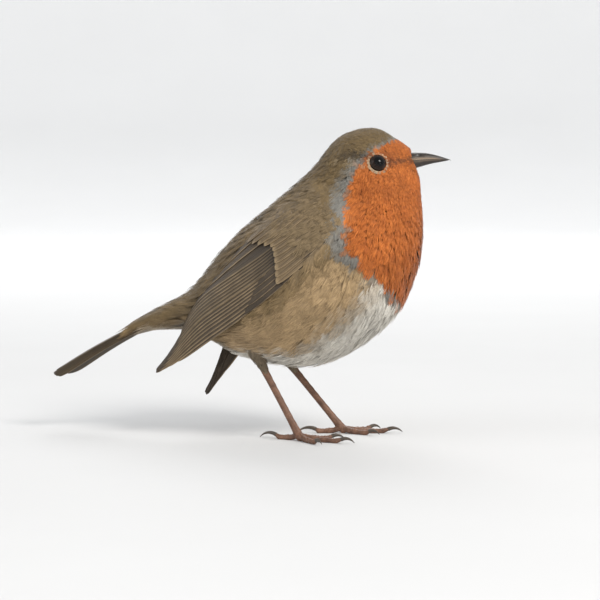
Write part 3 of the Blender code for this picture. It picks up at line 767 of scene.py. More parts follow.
def spread_roots(surface, length_of, first, last, layers, span=(0.0, 2 * math.pi)):
    """Roots spread evenly for their feathers' size. A fine grid's cells each want their area over
    the feather's area, times the layers; even steps of a square are carried through the sums of
    those wants, along the body first and then round it."""
    rows, columns = 500, 720
    long, wide = (last - first) / rows, (span[1] - span[0]) / columns
    stations = first + (np.arange(rows) + 0.5) * long
    angles = span[0] + (np.arange(columns) + 0.5) * wide
    station, angle = grid(stations, angles)
    _, back, across, _ = surface_frame(surface, station, angle)
    area = np.linalg.norm(np.cross(back, across), axis=-1) * long * wide
    wanted = area * layers / (SLENDER * length_of(station, angle) ** 2)
    count = int(wanted.sum())
    square = (0.5 + np.arange(1, count + 1)[:, None] * GOLDEN) % 1
    down_rows = np.cumsum(wanted.sum(1)) / wanted.sum()
    row = np.clip(np.searchsorted(down_rows, square[:, 0]), 0, rows - 1)
    across_rows = np.cumsum(wanted, 1) / wanted.sum(1, keepdims=True) + np.arange(rows)[:, None]
    found = np.searchsorted(across_rows.ravel(), row + square[:, 1] * 0.999999)
    jitter = random.uniform(-0.5, 0.5, (2, count))
    return stations[row] + jitter[0] * long, angles[found % columns] + jitter[1] * wide


def steps_on(back, across, vector):
    """A short way over a surface as steps of its station and angle, by its measure there."""
    bb, ba, aa = dot(back, back), dot(back, across), dot(across, across)
    b, a = dot(back, vector), dot(across, vector)
    whole = bb * aa - ba**2
    return (aa * b - ba * a) / whole, (bb * a - ba * b) / whole


def each(values):
    """One value for each feather, shaped to go with arrays over its barbs, joints and hands."""
    return np.asarray(values, float).reshape(-1, 1, 1, 1)


def lay_feathers(surface, depth, station, angle, way, length, width, barbs, joints):
    """Feathers as fans of barbs, lying on a surface. A barb numbered q from -1 to 1 runs back by
    length x (1 - 0.3 q^2) while it spreads to q width/2 (1 - (1 - x)^2.2), and it rises from the
    skin to the coat's outside as -depth (1 - x)^1.8; it narrows at its tip. Steps along and
    across are turned into steps of the surface's own numbers by its measure at the root.
    Returns points, normals that make each barb round, faces, and x, q and chance by point."""
    count = len(station)
    _, back, across, normal = surface_frame(surface, station, angle)
    aside = np.cross(normal, way)
    along_steps, aside_steps = (
        [each(part) for part in steps_on(back, across, vector)] for vector in (way, aside)
    )
    q = ((np.arange(barbs) + 0.5) / barbs * 2 - 1)[:, None, None]
    x = (np.linspace(0.05, 1, joints) ** 0.85)[:, None]
    hand = np.array([1.0, -1.0])
    size, half_width, full = each(length), each(width) / 2, each(depth)
    ragged = random.normal(0, 1, (5, count, barbs, 1, 1))
    whole_feather = random.normal(0, 1, (3, count, 1, 1, 1))
    out_along = size * x * (1 - 0.30 * q**2) * (1 + 0.05 * ragged[0])
    barb_half = half_width / barbs * (1.25 - 0.95 * x**4.5)
    bend = 0.08 * whole_feather[0] * size * x**2 + 0.5 * half_width / barbs * ragged[1] * x**2
    out_aside = q * half_width * (1 - (1 - x) ** 2.2) + bend + hand * barb_half
    lift = full * (0.05 * whole_feather[1] + 0.07 * whole_feather[2] * x**3 + 0.03 * ragged[2] * x)
    camber = -0.07 * half_width * x * q**2
    height = -full * (1 - x) ** 1.8 + lift + camber + hand * barb_half * 0.15 * ragged[3] * x
    at_station = each(station) + along_steps[0] * out_along + aside_steps[0] * out_aside
    at_angle = each(angle) + along_steps[1] * out_along + aside_steps[1] * out_aside
    place, _, _, outward = surface_frame(surface, at_station, at_angle)
    points = place + outward * height[..., None]
    turned = aside[:, None, None, None] * (0.45 * hand + 0.22 * ragged[4])[..., None]
    faces = grid_faces(numbered(count, barbs, joints, 2))
    x, q, chance = (np.broadcast_to(part, at_station.shape) for part in (x, q, ragged[4]))
    return points, unit(outward + turned), faces, x, q, chance


def rest_on_wings(points, rides):
    """Moves feathers sideways. Those that ride over a wing are laid on it at its front and its
    upper edge, and the coat swells up to it from further away; the others are tucked in under
    it. Both fade with the distance from the wing's edge and with how far there is to move."""
    s, t, wing_y, outside = over_wing(points)
    short = np.abs(wing_y) + LIES_OVER - np.abs(points[..., 1])
    front, upper = 1 - ease(s, 0.20, 0.36), ease(t, 0.4, 0.6)
    rides = each(rides)
    over = rides * np.maximum(front, upper * (1 - ease(s, 0.45, 0.70)))
    reach = 3.0 + (EDGE_REACH - 3.0) * front
    fade = 1 - ease(short, 2.5 + 1.5 * front, 5.0 + 3.0 * front)
    share = (1 - ease(outside / reach, 0.05, 1.0)) * fade
    tucked = np.where(outside < ON_WING, np.clip(short - 2.0, -3.0, 0), 0)
    moved = np.clip(short, 0, 6.0) * share * over + tucked * (1 - rides * np.maximum(front, upper))
    points[..., 1] += np.sign(points[..., 1]) * moved


def corner_points(mesh):
    """The number of the point under each corner of a mesh's faces."""
    found = np.empty(len(mesh.loops), np.int32)
    mesh.loops.foreach_get("vertex_index", found)
    return found


def add_paint_map(made, uv):
    """The map for painting, from a place in it for each point."""
    layer = made.data.uv_layers.new(name="OFBake")
    uv = uv.reshape(-1, 2)[corner_points(made.data)]
    layer.data.foreach_set("uv", uv.astype(np.float32).ravel())


def add_coat(name, laid, station, angle, slot, zones, spread, own=0.0, dusk_and_shade=0.0, tipped=None):
    """A piece of laid feathers that stores their colours and lightens or darkens barbs by chance.
    'tipped' reads all of it as that far along its feather. In the map for painting, each feather
    has a patch 0.003 wide at its root's place on the unwrapped skin, whose roots fill it."""
    points, normals, faces, along, across, chance = laid
    made = add_piece(name, points, [faces], coat_feather, slot)
    made.data.normals_split_custom_set_from_vertices(normals.reshape(-1, 3).astype(np.float32))
    zones = np.asarray(zones, float).reshape(-1, 1, 1, 1, 4)
    store(made, "zones", np.broadcast_to(zones, (*along.shape, 4)))
    tone = np.clip(0.5 + spread * chance + each(own), 0, 1)
    shown = along if tipped is None else 0 * along + tipped
    store(made, "barb", np.stack([shown, tone, 0 * along, each(dusk_and_shade) + 0 * along], -1))
    root = [0.002 + 0.996 * each(part - part.min()) / np.ptp(part) for part in (angle, station)]
    patch = (across, 2 * along - 1)
    add_paint_map(made, np.stack([at + 0.0015 * part for at, part in zip(root, patch)], -1))


def join_feathers(lots):
    """Several lots of laid feathers, each with its stations and angles, as one; the faces are
    numbered on."""
    starts = np.cumsum([0] + [lot[3].size for lot in lots])
    joined = [
        np.concatenate([lot[k] + (k == 2) * start for lot, start in zip(lots, starts)])
        for k in range(8)
    ]
    return joined[:6], *joined[6:]


def lie_of_coat(station, angle):
    """The way feathers point: back along the body, led round the eyes, and on the shoulders
    down over the wings' upper edges."""
    place, back, _, normal = surface_frame(body_surface, station, angle)
    way = unit(back)
    for side in (RIGHT, LEFT):
        from_eye = place - eye_place(side)[0]
        away = np.linalg.norm(from_eye, axis=-1, keepdims=True)
        faced = np.clip(-dot(unit(from_eye), way), -0.6, 1)[..., None]
        way = way + 1.08 * bell(away, 0, 4.2) * faced * unit(from_eye)
    shoulder = ease(np.abs(np.sin(angle)), 0.3, 0.75) * (np.cos(angle) > 0)
    shoulder = shoulder * ease(station, 3.9, 4.6) * (1 - ease(station, 6.0, 7.2))
    down = np.cross(normal, way) * -np.sign(np.sin(angle))[..., None]
    way = way + 0.32 * shoulder[..., None] * down
    return place, along_surface(way, normal)


body_station, body_angle = spread_roots(body_surface, feather_length, *COAT_SPAN, LAYERS)
place, way = lie_of_coat(body_station, body_angle)
uneven = 0.09 + 0.15 * ease(body_station, 8.4, 9.5)
length = feather_length(body_station, body_angle)
length = length * (1 + uneven * np.minimum(random.normal(0, 1, len(place)), 1.0))
kept = body_station < COAT_SPAN[1] - COAT_FRAYS * random.uniform(0, 1, len(place))
for side in (RIGHT, LEFT):
    to_eye = eye_place(side)[0] - place
    away = np.linalg.norm(to_eye, axis=-1)
    ahead = dot(to_eye, way)
    beside = np.sqrt(np.maximum(away**2 - ahead**2, 0))
    clear = ahead - np.sqrt(np.maximum(EYE_ROOM**2 - beside**2, 0)) + EYE_GAP
    meets = (ahead > 0) & (beside < EYE_ROOM) & (away < 9)
    length = np.where(meets, np.minimum(length, clear), length)
    kept &= away > EYE_ROOM
s, t, wing_y, outside = over_wing(place)
hidden = (outside < ON_WING) & (s > UNDER_WING[0]) & (t > UNDER_WING[1]) & (t < UNDER_WING[2])
hidden &= np.abs(wing_y) - np.abs(place[:, 1]) < CLOSE_UNDER
kept &= (length > SHORTEST) & ~hidden
body_station, body_angle, way, length = (
    part[kept] for part in (body_station, body_angle, way, length)
)
under = np.abs(body_angle % (2 * math.pi) - math.pi)

for name, (first, last), (low, high), barbs, joints, slot in TRACTS:
    mine = (body_station >= first) & (body_station < last) & (under >= low) & (under < high)
    if first < 0:
        mine |= body_station < first
    station, angle, long = body_station[mine], body_angle[mine], length[mine]
    depth = smooth_curve(COAT_DEPTHS, np.maximum(station, 0))
    wide = long * SLENDER * (FACE_WIDER if first < 3 else BODY_WIDER)
    laid = lay_feathers(body_surface, depth, station, angle, way[mine], long, wide, barbs, joints)
    rest_on_wings(laid[0], (under[mine] > RIDES_FROM) | (station < RIDES_AHEAD))
    steps = surface_frame(body_surface, station, angle)[1:3]
    measure = np.linalg.norm(steps, axis=-1)
    stray = random.normal(0, COLOUR_STRAYS, (2, len(station))) * long / measure
    ahead = COLOUR_BEHIND * long / measure[0]
    zones, dusk_and_shade = markings(station + ahead + stray[0], angle + stray[1])
    own = FEATHER_TONES * random.normal(0, 1, len(station))
    add_coat(name, laid, station, angle % (2 * math.pi), slot, zones, BARB_TONES, own, dusk_and_shade)

# The thighs' feathers, from inside the belly's coat down to the shank, lie in every depth.
thigh_parts = []
for label in THIGHS:
    surface = thigh_surface(label)
    station, angle = spread_roots(surface, lambda u, a: 4.8 - 0.55 * u, 0.4, 4.3, THIGH_LAYERS)
    count = len(station)
    way = unit(surface_frame(surface, station, angle)[1])
    length = (6.0 - 0.7 * station) * (1 + 0.25 * random.normal(0, 1, count))
    depth = np.minimum(THIGH_COAT, 0.55 * smooth_curve(THIGH_RADII, station))
    depth = depth * random.uniform(0.8, 1.25, count)
    laid = lay_feathers(surface, depth, station, angle, way, length, 0.5 * length, 9, 5)
    thigh_parts.append((*laid, station, angle % (2 * math.pi) + 6.4 * len(thigh_parts)))
# The thighs' feathers are darkened by a third towards the dark colour: painted shade under the
# belly.
add_coat(
    "coat_thighs", *join_feathers(thigh_parts), "body_feather", (0.0, 0.1, 0.12, 0.35), 0.2,
    dusk_and_shade=0.35,
)

# ---- Wings
# Folded wings: long stiff vanes stacked like a fan, each covering the inner half of the next one
# below, the innermost on top. Tertials lie uppermost, then six secondaries and eight primaries,
# whose bases are roofed by greater and primary coverts, the alula and soft small feathers.

NOTCH = (0.27, 0.43)  # where the greater coverts' tips meet the longest tertial's lower edge: s, t
TERTIAL_TIP = 0.80
VANE_COLUMNS = np.array((0.0, 0.05, 0.13, 0.24, 0.30, 0.42, 0.6, 0.8, 1.0))
SHAFT_AT = 0.27  # the shaft lies nearer the vane's lower edge
VANE_HALF = 0.055  # half of a vane's thickness
VANE_DARK, VANE_WARM = (0.046, 0.033, 0.022, 1), (0.142, 0.098, 0.051, 1)
# The last colour on the next line is painted shade for vane bases under other feathers.
VANE_FRINGE, VANE_PAINTED_SHADE = (0.36, 0.26, 0.145, 1), (0.022, 0.016, 0.012, 1)
SHAFT_COLOUR = (0.030, 0.020, 0.013, 1)


def tertial_line(s):
    """The longest tertial's lower edge, as t: it climbs from the notch to the upper edge."""
    x = np.clip((s - NOTCH[0]) / (TERTIAL_TIP - NOTCH[0]), 0, 1)
    return NOTCH[1] + (1 - NOTCH[1]) * x**1.55


def at_share(share):
    """A lower edge that keeps its share of the space under the longest tertial."""
    return lambda s: share * tertial_line(s)


def between(start, end, first, last, bow=0.0):
    """A lower edge from one t to another, bowed by a share in its middle."""
    def edge(s):
        x = np.clip((s - first) / (last - first), 0, 1.2)
        return start + (end - start) * x + bow * 4 * x * (1 - x)
    return edge


WING_ROWS = (
    # Piece; how far out the first feather lies, and each next one; rows of points; how blunt the
    # tip is; how far it sags; the fringe's least and greatest strength. Then for each feather,
    # from the outermost: its lower edge, its first and last s, and its width.
    ("primaries", -1.1, 0.075, 44, 16.0, 0.0, (0.5, 1.1), [
        (at_share(share), 0.2, tip, width) for share, tip, width in (
            (-0.01, 0.865, 5.4), (0.05, 0.935, 5.4), (0.12, 0.975, 5.4), (0.20, 1.0, 5.4),
            (0.27, 0.985, 5.2), (0.34, 0.955, 5.2), (0.41, 0.92, 5.0), (0.48, 0.885, 5.0),
        )
    ]),
    ("secondaries", -0.50, 0.06, 40, 12.0, 0.0, (0.6, 1.15), [
        (at_share(share), 0.2, tip, 5.6) for share, tip in (
            (0.50, 0.835), (0.58, 0.83), (0.66, 0.82), (0.745, 0.81), (0.835, 0.80), (0.92, 0.79),
        )
    ]),
    ("tertials", -0.08, 0.11, 34, 8.0, 0.0, (1.0, 1.0), [
        (tertial_line, 0.18, TERTIAL_TIP, 6.6),
        (between(0.60, 0.92, 0.27, 0.70, -0.05), 0.18, 0.70, 6.6),
        (between(0.76, 0.94, 0.27, 0.58, -0.05), 0.18, 0.58, 6.0),
    ]),
    ("coverts", 0.20, 0.05, 20, 7.0, 0.1, (0.8, 0.8), [
        (between(root_t, tip_t, tip - 0.19, tip), tip - 0.19, tip, 3.6) for root_t, tip_t, tip in (
            (-0.02, 0.01, 0.315), (0.04, 0.07, 0.305), (0.10, 0.135, 0.295),
            (0.165, 0.205, 0.285), (0.23, 0.275, 0.278), (0.30, 0.345, 0.272),
            (0.37, 0.415, 0.272), (0.45, 0.49, 0.29), (0.54, 0.575, 0.31), (0.64, 0.67, 0.33),
            (0.74, 0.77, 0.35),
        )
    ]),
    ("primaries", -0.45, 0.07, 20, 8.0, 0.38, (0.9, 0.9), [  # the primary coverts
        (between(low, low + 0.01, first, tip), first, tip, 2.2) for low, first, tip in (
            (-0.02, 0.24, 0.47), (0.035, 0.22, 0.44), (0.09, 0.2, 0.41), (0.145, 0.2, 0.385),
        )
    ]),
    ("primaries", 0.20, 0.10, 20, 7.0, 0.35, (1.2, 1.2), [  # the alula
        (between(low, low + 0.01, first, tip), first, tip, 1.9) for low, first, tip in (
            (-0.03, 0.10, 0.30), (0.02, 0.09, 0.26), (0.07, 0.08, 0.225),
        )
    ]),
)


def vane_outline(along, blunt, base):
    """How wide a vane is at a share of its length: it opens from its base and closes in a round
    tip, as the square root of one minus the rest of the way to the power of blunt."""
    return (base + (1 - base) * ease(along, 0.0, 0.25)) * np.sqrt(np.clip(1 - along**blunt, 0, 1))


def wing_vane(side, edge, first_s, last_s, width, layer, rows, blunt, sag):
    """A vane on the wing. Its lower edge runs at t = edge(s) from first to last s; across, it
    reaches width millimetres towards the upper edge, in steps of t by the wing's measure there.
    Its lower edge rides higher than its upper one, its shaft stands up a little, and its tip
    sags. Returns a grid of points, outward normals, x along it and c across it."""
    x, c = grid(1 - (1 - np.linspace(0, 1, rows)) ** 1.25, VANE_COLUMNS)
    s = first_s + (last_s - first_s) * x
    shaft = SHAFT_AT * width
    off = shaft + (c * width - shaft) * vane_outline(x, blunt, 0.7)
    t, step = edge(s), 1e-3
    up = (wing_surface(s, t + step, side) - wing_surface(s, t, side)) / step
    t = t + off / np.linalg.norm(up, axis=-1)
    place, _, _, outward = surface_frame(lambda a, b: wing_surface(a, b, side), s, t)
    outward = outward * np.sign(outward[..., 1:2]) * side
    lift = layer - 0.20 * (c - SHAFT_AT) - sag * x**2 + 0.05 * bell(c, SHAFT_AT, 0.06)
    lift = lift + 0.03 * random.normal(0, 1, rows)[:, None] * (c - SHAFT_AT) ** 2
    return place + outward * lift[..., None], outward, x, c


def closed_vane(points, outward):
    """A vane as a thin closed leaf: its grid, a second one under it, and one rim for both."""
    rows, columns = points.shape[:2]
    inner = np.zeros((rows, columns), bool)
    inner[1:-1, 1:-1] = True
    number = numbered(rows, columns)
    below = number.copy()
    below[inner] = rows * columns + np.arange(inner.sum())
    top, under = grid_faces(number), grid_faces(below)[:, ::-1]
    every = np.concatenate([points.reshape(-1, 3), (points - outward * 2 * VANE_HALF)[inner]])
    row, column = rows // 2, columns // 2
    a = points[row, column]
    face_way = np.cross(points[row, column + 1] - a, points[row + 1, column] - a)
    if face_way @ outward[row, column] < 0:
        top, under = top[:, ::-1], under[:, ::-1]
    return every, [top, under], inner


def add_vanes(name, vanes, material, slot, replaced):
    """Several vanes as one piece. Each stores x, c, its own tone and its fringe, and has its own
    strip of the map for painting, one half for its top and one for its underside."""
    parts, marks, strips = [], [], []
    for index, (points, outward, x, c, fringe) in enumerate(vanes):
        every, faces, inner = closed_vane(points, outward)
        parts.append((every, faces))
        tone = np.clip(0.5 + 0.12 * random.normal(), 0, 1)
        x_by_point, c_by_point = (np.append(part, part[inner]) for part in (x, c))
        one = np.ones(len(every))
        marks.append(np.stack([x_by_point, c_by_point, tone * one, fringe * one], -1))
        underside = np.arange(len(every)) >= x.size
        across = (index + 0.04 + 0.44 * c_by_point + 0.48 * underside) / len(vanes)
        strips.append(np.stack([0.005 + 0.99 * x_by_point, across], -1))
    made = add_piece(name, *join(parts), material, slot, replaced)
    store(made, "vane", np.concatenate(marks))
    add_paint_map(made, np.concatenate(strips))


def vane_group():
    """Stiff feather. 'vane' holds x along it, c across it, its own tone and how strong its pale
    fringe is. Fine slanting lines are its barbs; a dark glossy line is its shaft. Its base is
    darker where the feathers above shade it."""
    group, (barbs, fringe_share, tip_share, warm, shaded), out = new_group(
        "vane", {"Barbs": 90.0, "Fringe": 0.7, "Tip": 0.0, "Warm": 0.0, "Shaded": 0.0},
        {"Colour": "Color", "Height": "Float"},
    )
    x, c, tone, strength = stored(group, "vane")
    aside = calculate("ABSOLUTE", calculate("SUBTRACT", c, SHAFT_AT), 0.0)
    slant = calculate("SUBTRACT", x, product(aside, 0.10))
    lines = calculate("SINE", product(barbs, 2 * math.pi, slant), 0.0)
    rough = swing(noise(group, 260.0, 3.0), 1.0)
    fringe = rescale(total(c, product(rough, 0.05)), 0.11, 0.015)
    uneven = total(product(rough, 1.6), 1.0)
    fringe = product(fringe, fringe_share, strength, uneven)
    tip = product(rescale(x, 0.9, 0.98), tip_share)
    fringe = calculate("MAXIMUM", fringe, tip)
    colour = mix_colour(fringe, mix_colour(warm, VANE_DARK, VANE_WARM), VANE_FRINGE)
    # Painted shade: the vane's base darkens where the feathers above would shadow it.
    hidden = product(rescale(x, 0.40, 0.14), shaded)
    colour = mix_colour(hidden, colour, VANE_PAINTED_SHADE)
    parts = (swing(tone, 0.5), product(rough, 0.6), product(lines, 0.07))
    colour = brighten(colour, total(*parts, 1.0))
    shaft = rescale(aside, 0.035, 0.012)
    colour = mix_colour(product(shaft, 0.75), colour, SHAFT_COLOUR)
    group.links.new(colour, out.inputs["Colour"])
    height = total(product(lines, 0.5), product(shaft, 2.0))
    group.links.new(height, out.inputs["Height"])
    return group


vane_look = vane_group()


def vane_material(name, barbs, fringe, tip, warm, shaded):
    """Stiff feather with a faint silky gloss across its barbs."""
    made, tree, shader = new_material(name, {
        "Roughness": 0.55, "Specular IOR Level": 0.35, "Sheen Weight": 0.06, "Sheen Roughness": 0.4,
    })
    look = add_group(tree, vane_look, {
        "Barbs": barbs, "Fringe": fringe, "Tip": tip, "Warm": warm, "Shaded": shaded,
    }).outputs
    finish(tree, shader, look["Colour"], height=look["Height"], strength=0.35, deep=0.1)
    return made


flight_vane = vane_material("flight_vane", 150.0, 0.85, 0.0, 0.15, 0.0)
secondary_vane = vane_material("secondary_vane", 150.0, 0.85, 0.0, 0.3, 0.75)
covert_vane = vane_material("covert_vane", 60.0, 0.75, 0.6, 1.0, 0.0)

for label, side in (("right", RIGHT), ("left", LEFT)):
    laid = {"primaries": [], "secondaries": [], "tertials": [], "coverts": []}
    for piece, layer, step, rows, blunt, sag, (least, most), feathers in WING_ROWS:
        for index, feather in enumerate(feathers):
            vane = wing_vane(side, *feather, layer + step * index, rows, blunt, sag)
            fringe = random.uniform(least, most) if least < most else least
            laid[piece].append((*vane, fringe))
    for piece, material, slot, solids in (
        ("primaries", flight_vane, "flight_feather", (f"wing_{label}_primaries",)),
        ("secondaries", secondary_vane, "flight_feather", ()),
        ("tertials", secondary_vane, "flight_feather", (f"wing_{label}_tertials",)),
        ("coverts", covert_vane, "body_feather", (f"wing_{label}_coverts",)),
    ):
        add_vanes(f"vanes_{label}_{piece}", laid[piece], material, slot, solids)


def wrist_length(station, angle):
    """4.2 mm at the wrist and 1.6 mm more for each station, up to the second."""
    return 4.2 + 1.6 * np.clip(station, 0, 2)


# The small coverts at the wrist and along the upper edge are soft, like the body's feathers. Their
# station is ten times the wing's s, and their angle is its t, below zero on the left.
wing_parts = []
for side in (RIGHT, LEFT):
    hand = -side
    surface = lambda station, angle: wing_surface(station / 10, hand * angle, side)
    sheet = lambda a, b: surface(a, b) + 0.75 * surface_frame(surface, a, b)[3]
    span = (0.0, 1.0) if side == RIGHT else (-1.0, 0.0)
    station, angle = spread_roots(surface, wrist_length, -0.1, 2.5, 4.6, span)
    t = hand * angle
    kept = (station < 1.55 + 1.0 * ease(t, 0.35, 0.9)) & (t > 0.02)
    station, angle = station[kept], angle[kept]
    count = len(station)
    _, back, across, outward = surface_frame(surface, station, angle)
    way = along_surface(unit(back) + 0.12 * unit(across) * hand, outward)
    length = wrist_length(station, angle) * (1 + 0.08 * random.normal(0, 1, count))
    depth = np.full(count, 1.3)
    laid = lay_feathers(sheet, depth, station, angle, way, length, 0.52 * length, 13, 5)
    wing_parts.append((*laid, station, angle + 1.5 * (side == LEFT)))
laid, station, angle = join_feathers(wing_parts)
own = 0.12 * random.normal(0, 1, len(station))
zones = (0.0, 0.10, 0.0, 0.16)
add_coat("coat_wing_wrists", laid, station, angle, "body_feather", zones, 0.11, own)

# ---- Tail
# Twelve stiff tail feathers, folded: the middle pair on top, each next pair under the last and a
# little further out, so that the tail is a low roof. They leave the body under its tail coverts.

TAIL_ROOT, TAIL_TIP = np.array((-44.0, 34.8)), np.array((-77.0, 17.1))
TAIL_HALF_VANE = 3.7
TAIL_PAIRS = (  # from the middle one: how far out its middle lies at the tip, and how much shorter
    (0.3, 1.1), (0.75, 0.0), (1.3, 0.1), (1.85, 0.4), (2.4, 0.9), (2.9, 1.8),
)
TAIL_COLUMNS = (-1.0, -0.9, -0.72, -0.45, -0.16, -0.06, 0.06, 0.2, 0.45, 0.7, 0.9, 1.0)
TAIL_DROP, TAIL_ROOF, TAIL_ARCH = 0.30, 0.05, 0.8
tail_vanes = []
along = unit(TAIL_TIP - TAIL_ROOT)
for pair, (aside, shorter) in reversed(list(enumerate(TAIL_PAIRS))):
    for side in (RIGHT, LEFT):
        x, c = grid(1 - (1 - np.linspace(0, 1, 40)) ** 1.2, TAIL_COLUMNS)
        reach = np.linalg.norm(TAIL_TIP - TAIL_ROOT) - shorter
        wide = TAIL_HALF_VANE * vane_outline(x, 14.0, 0.75) * (0.72 + 0.28 * x)
        y = side * (aside * (0.35 + 0.65 * x) + 0.2) + c * wide
        # The left of a pair lies just under the right; the roof falls away to both sides.
        drop = TAIL_DROP * pair + 0.05 * (side == LEFT) + TAIL_ROOF * y**2
        height = TAIL_ARCH * np.sin(math.pi * x) + 0.8 - drop + 0.05 * bell(c, 0, 0.1)
        px, pz = TAIL_ROOT[:, None, None] + along[:, None, None] * x * reach
        points = np.stack([px + along[1] * height, y, pz - along[0] * height], -1)
        outward = np.stack([along[1] + 0 * y, 2 * TAIL_ROOF * y, -along[0] + 0 * y], -1)
        outer = c * side
        shown = np.where(outer > 0, SHAFT_AT * (1 - outer), SHAFT_AT - (1 - SHAFT_AT) * outer)
        tail_vanes.append((points, unit(outward), x, shown, 0.3))
add_vanes("tail_vanes", tail_vanes, flight_vane, "flight_feather", ("tail",))

# ---- Eyes
# Large, dark and wet: a clear rounded cornea over a black pupil and a very dark brown iris. Each
# sits in a thin dark lid that comes to a point before and behind it, ringed by tiny pale feathers.

LID_ROWS, LID_COLUMNS, RING_FEATHERS = 12, 72, 80
LID_RADIUS, RING_RADIUS, CORNEA = 2.18, 2.36, 0.045
CORNEA_WIDE, CORNER_WIDE = 0.55, 0.16  # in radians


def ramp(value, *stops):
    """A colour read off a scale between two stops, each a place and a colour."""
    made = add_node(tree_of(value), "ValToRGB", {"Fac": value})
    for element, (position, colour) in zip(made.color_ramp.elements, stops):
        element.position, element.color = position, colour
    return made.outputs["Color"]


def from_corner(turned, corner):
    """How far round the eye a direction lies from a corner of it, without sign."""
    return np.abs((turned - corner + math.pi) % (2 * math.pi) - math.pi)


eye_look, tree, shader = new_material("wet_eye", {
    "Roughness": 0.03, "IOR": 1.34, "Specular IOR Level": 0.4,
})
iris = add_node(tree, "Attribute", attribute_name="iris").outputs["Fac"]
finish(tree, shader, ramp(
    iris, (0.50, (0.0012, 0.0010, 0.0010, 1)), (0.58, (0.014, 0.006, 0.003, 1))
))
lid_look, tree, shader = new_material("eyelid", {"Roughness": 0.75, "Specular IOR Level": 0.2})
grain = cells(tree, 4200.0)
tint = ramp(grain, (0.0, (0.010, 0.008, 0.006, 1)), (1.0, (0.032, 0.022, 0.015, 1)))
finish(tree, shader, tint, height=grain, strength=0.5, deep=0.1)
ring_parts = []
for label, side in (("right", RIGHT), ("left", LEFT)):
    place, outward, centre = eye_place(side)
    _, back, across, _ = surface_frame(body_surface, EYE_STATION, side * EYE_ANGLE)
    front = along_surface(-back, outward)
    upward = np.cross(outward, front) * np.sign(np.cross(outward, front)[2])
    radial = lambda turned: np.cos(turned)[..., None] * front + np.sin(turned)[..., None] * upward
    # Eyeball: a sphere whose middle bulges a little as the cornea.
    polar, turned = grid(np.linspace(0.02, math.pi - 0.02, 40), full_turn(56))
    radius = EYE_RADIUS * (1 + CORNEA * bell(polar, 0, CORNEA_WIDE))
    way = np.cos(polar)[..., None] * outward + np.sin(polar)[..., None] * radial(turned)
    points, faces = closed_tube(centre + radius[..., None] * way)
    eye = add_piece(f"eyeball_{label}", points, faces, eye_look, "eye", (f"eye_{label}",))
    store(eye, "iris", np.minimum(np.append(polar, (0, math.pi)), 1), "FLOAT")
    # Lid: a rounded rim from the eyeball out to the face, drawn out to a point at each corner.
    share, turned = grid(np.linspace(0, 1, LID_ROWS), full_turn(LID_COLUMNS))
    corner = np.exp(-from_corner(turned, 0.10) / CORNER_WIDE)
    behind = np.exp(-from_corner(turned, math.pi) / CORNER_WIDE)
    wide = LID_RADIUS - 0.05 * np.abs(np.sin(turned)) + 0.30 * share
    wide = wide + 0.75 * corner * (0.25 + share) + 0.35 * behind * share
    sunk = math.sqrt(EYE_RADIUS**2 - EYE_OPENING**2)
    rise = np.sqrt(np.maximum(EYE_RADIUS**2 - wide**2, 0.0)) - sunk
    rise = rise + 0.09 * np.sin(math.pi * np.minimum(share * 1.1, 1)) + 0.02
    rise = rise + (-0.45 - rise) * ease(share, 0.6, 1.0)
    rim = place + outward * rise[..., None] + wide[..., None] * radial(turned)
    faces = grid_faces(numbered(LID_ROWS, LID_COLUMNS), wrap=True)
    a, b, c = rim.reshape(-1, 3)[faces[0, :3]]
    if np.cross(b - a, c - b) @ outward < 0:
        faces = faces[:, ::-1]
    add_piece(f"eyelid_{label}", rim, [faces], lid_look, "face_feather")
    # Eye-ring: two rows of tiny feathers that stand out from the lid and lean back.
    row, spot = np.divmod(np.arange(RING_FEATHERS * 2), RING_FEATHERS)
    turned = (spot + 0.33 * row) / RING_FEATHERS * 2 * math.pi
    from_eye = RING_RADIUS + 0.30 * row + 0.45 * np.exp(-from_corner(turned, 0) / 0.2)
    step = steps_on(back, across, radial(turned) * from_eye[:, None])
    station, angle = EYE_STATION + step[0], side * EYE_ANGLE + step[1]
    count = len(station)
    _, back_there, _, normal = surface_frame(body_surface, station, angle)
    way = along_surface(radial(turned) + 0.55 * unit(back_there), normal)
    length = 0.72 + 0.10 * random.normal(0, 1, count)
    depth = np.full(count, 0.55)
    laid = lay_feathers(body_surface, depth, station, angle, way, length, 0.40 * length, 3, 4)
    ring_parts.append((*laid, station, angle % (2 * math.pi)))
add_coat(
    "coat_eye_rings", *join_feathers(ring_parts), "face_feather", (0.35, 0.0, 0.2, 0.0), 0.15,
    dusk_and_shade=-0.55, tipped=0.9,
)

# ---- Bill
# Thin and pointed, of dark horn: the upper half with a ridge along its top and a slit nostril on
# each side, a sharp cutting edge over the lower half, and a tip that turns down past it.

BILL_TIP, BILL_ROOT_X, BILL_MEETS_Z = (46.1, 83.1), 33.6, 82.85
BILL_HALVES = (  # name, which way up, height, share of the width, fall to the tip, pale edge, node
    ("bill_ridge_half", 1, 2.3, 1.0, 1.55, 0.9, "bill_upper"),
    ("bill_lower_half", -1, 2.45, 0.9, 1.25, 0.35, "bill_lower"),
)
BILL_HALF_WIDTH, BILL_BLUNT, BILL_THINNEST, BILL_ARCH = 2.35, 0.6, 0.03, 0.35
LOWER_BILL_SHORTER, BILL_HOOK, HOOK_STARTS, BILL_PARTED = 0.6, 0.16, 0.95, 0.14
NOSTRIL = (0.27, 0.62)  # share along, and angle from the cutting edge
BRISTLES, BRISTLE_LENGTH, BRISTLE_RADIUS = 6, 3.4, 0.05
horn, tree, shader = new_material("dark_horn", {"Specular IOR Level": 0.5})
drawn_out = add_node(tree, "Mapping", {"Vector": own_place(tree), "Scale": (0.25, 1.0, 1.0)})
grain = noise(tree, 2200.0, 3.0, drawn_out.outputs[0])
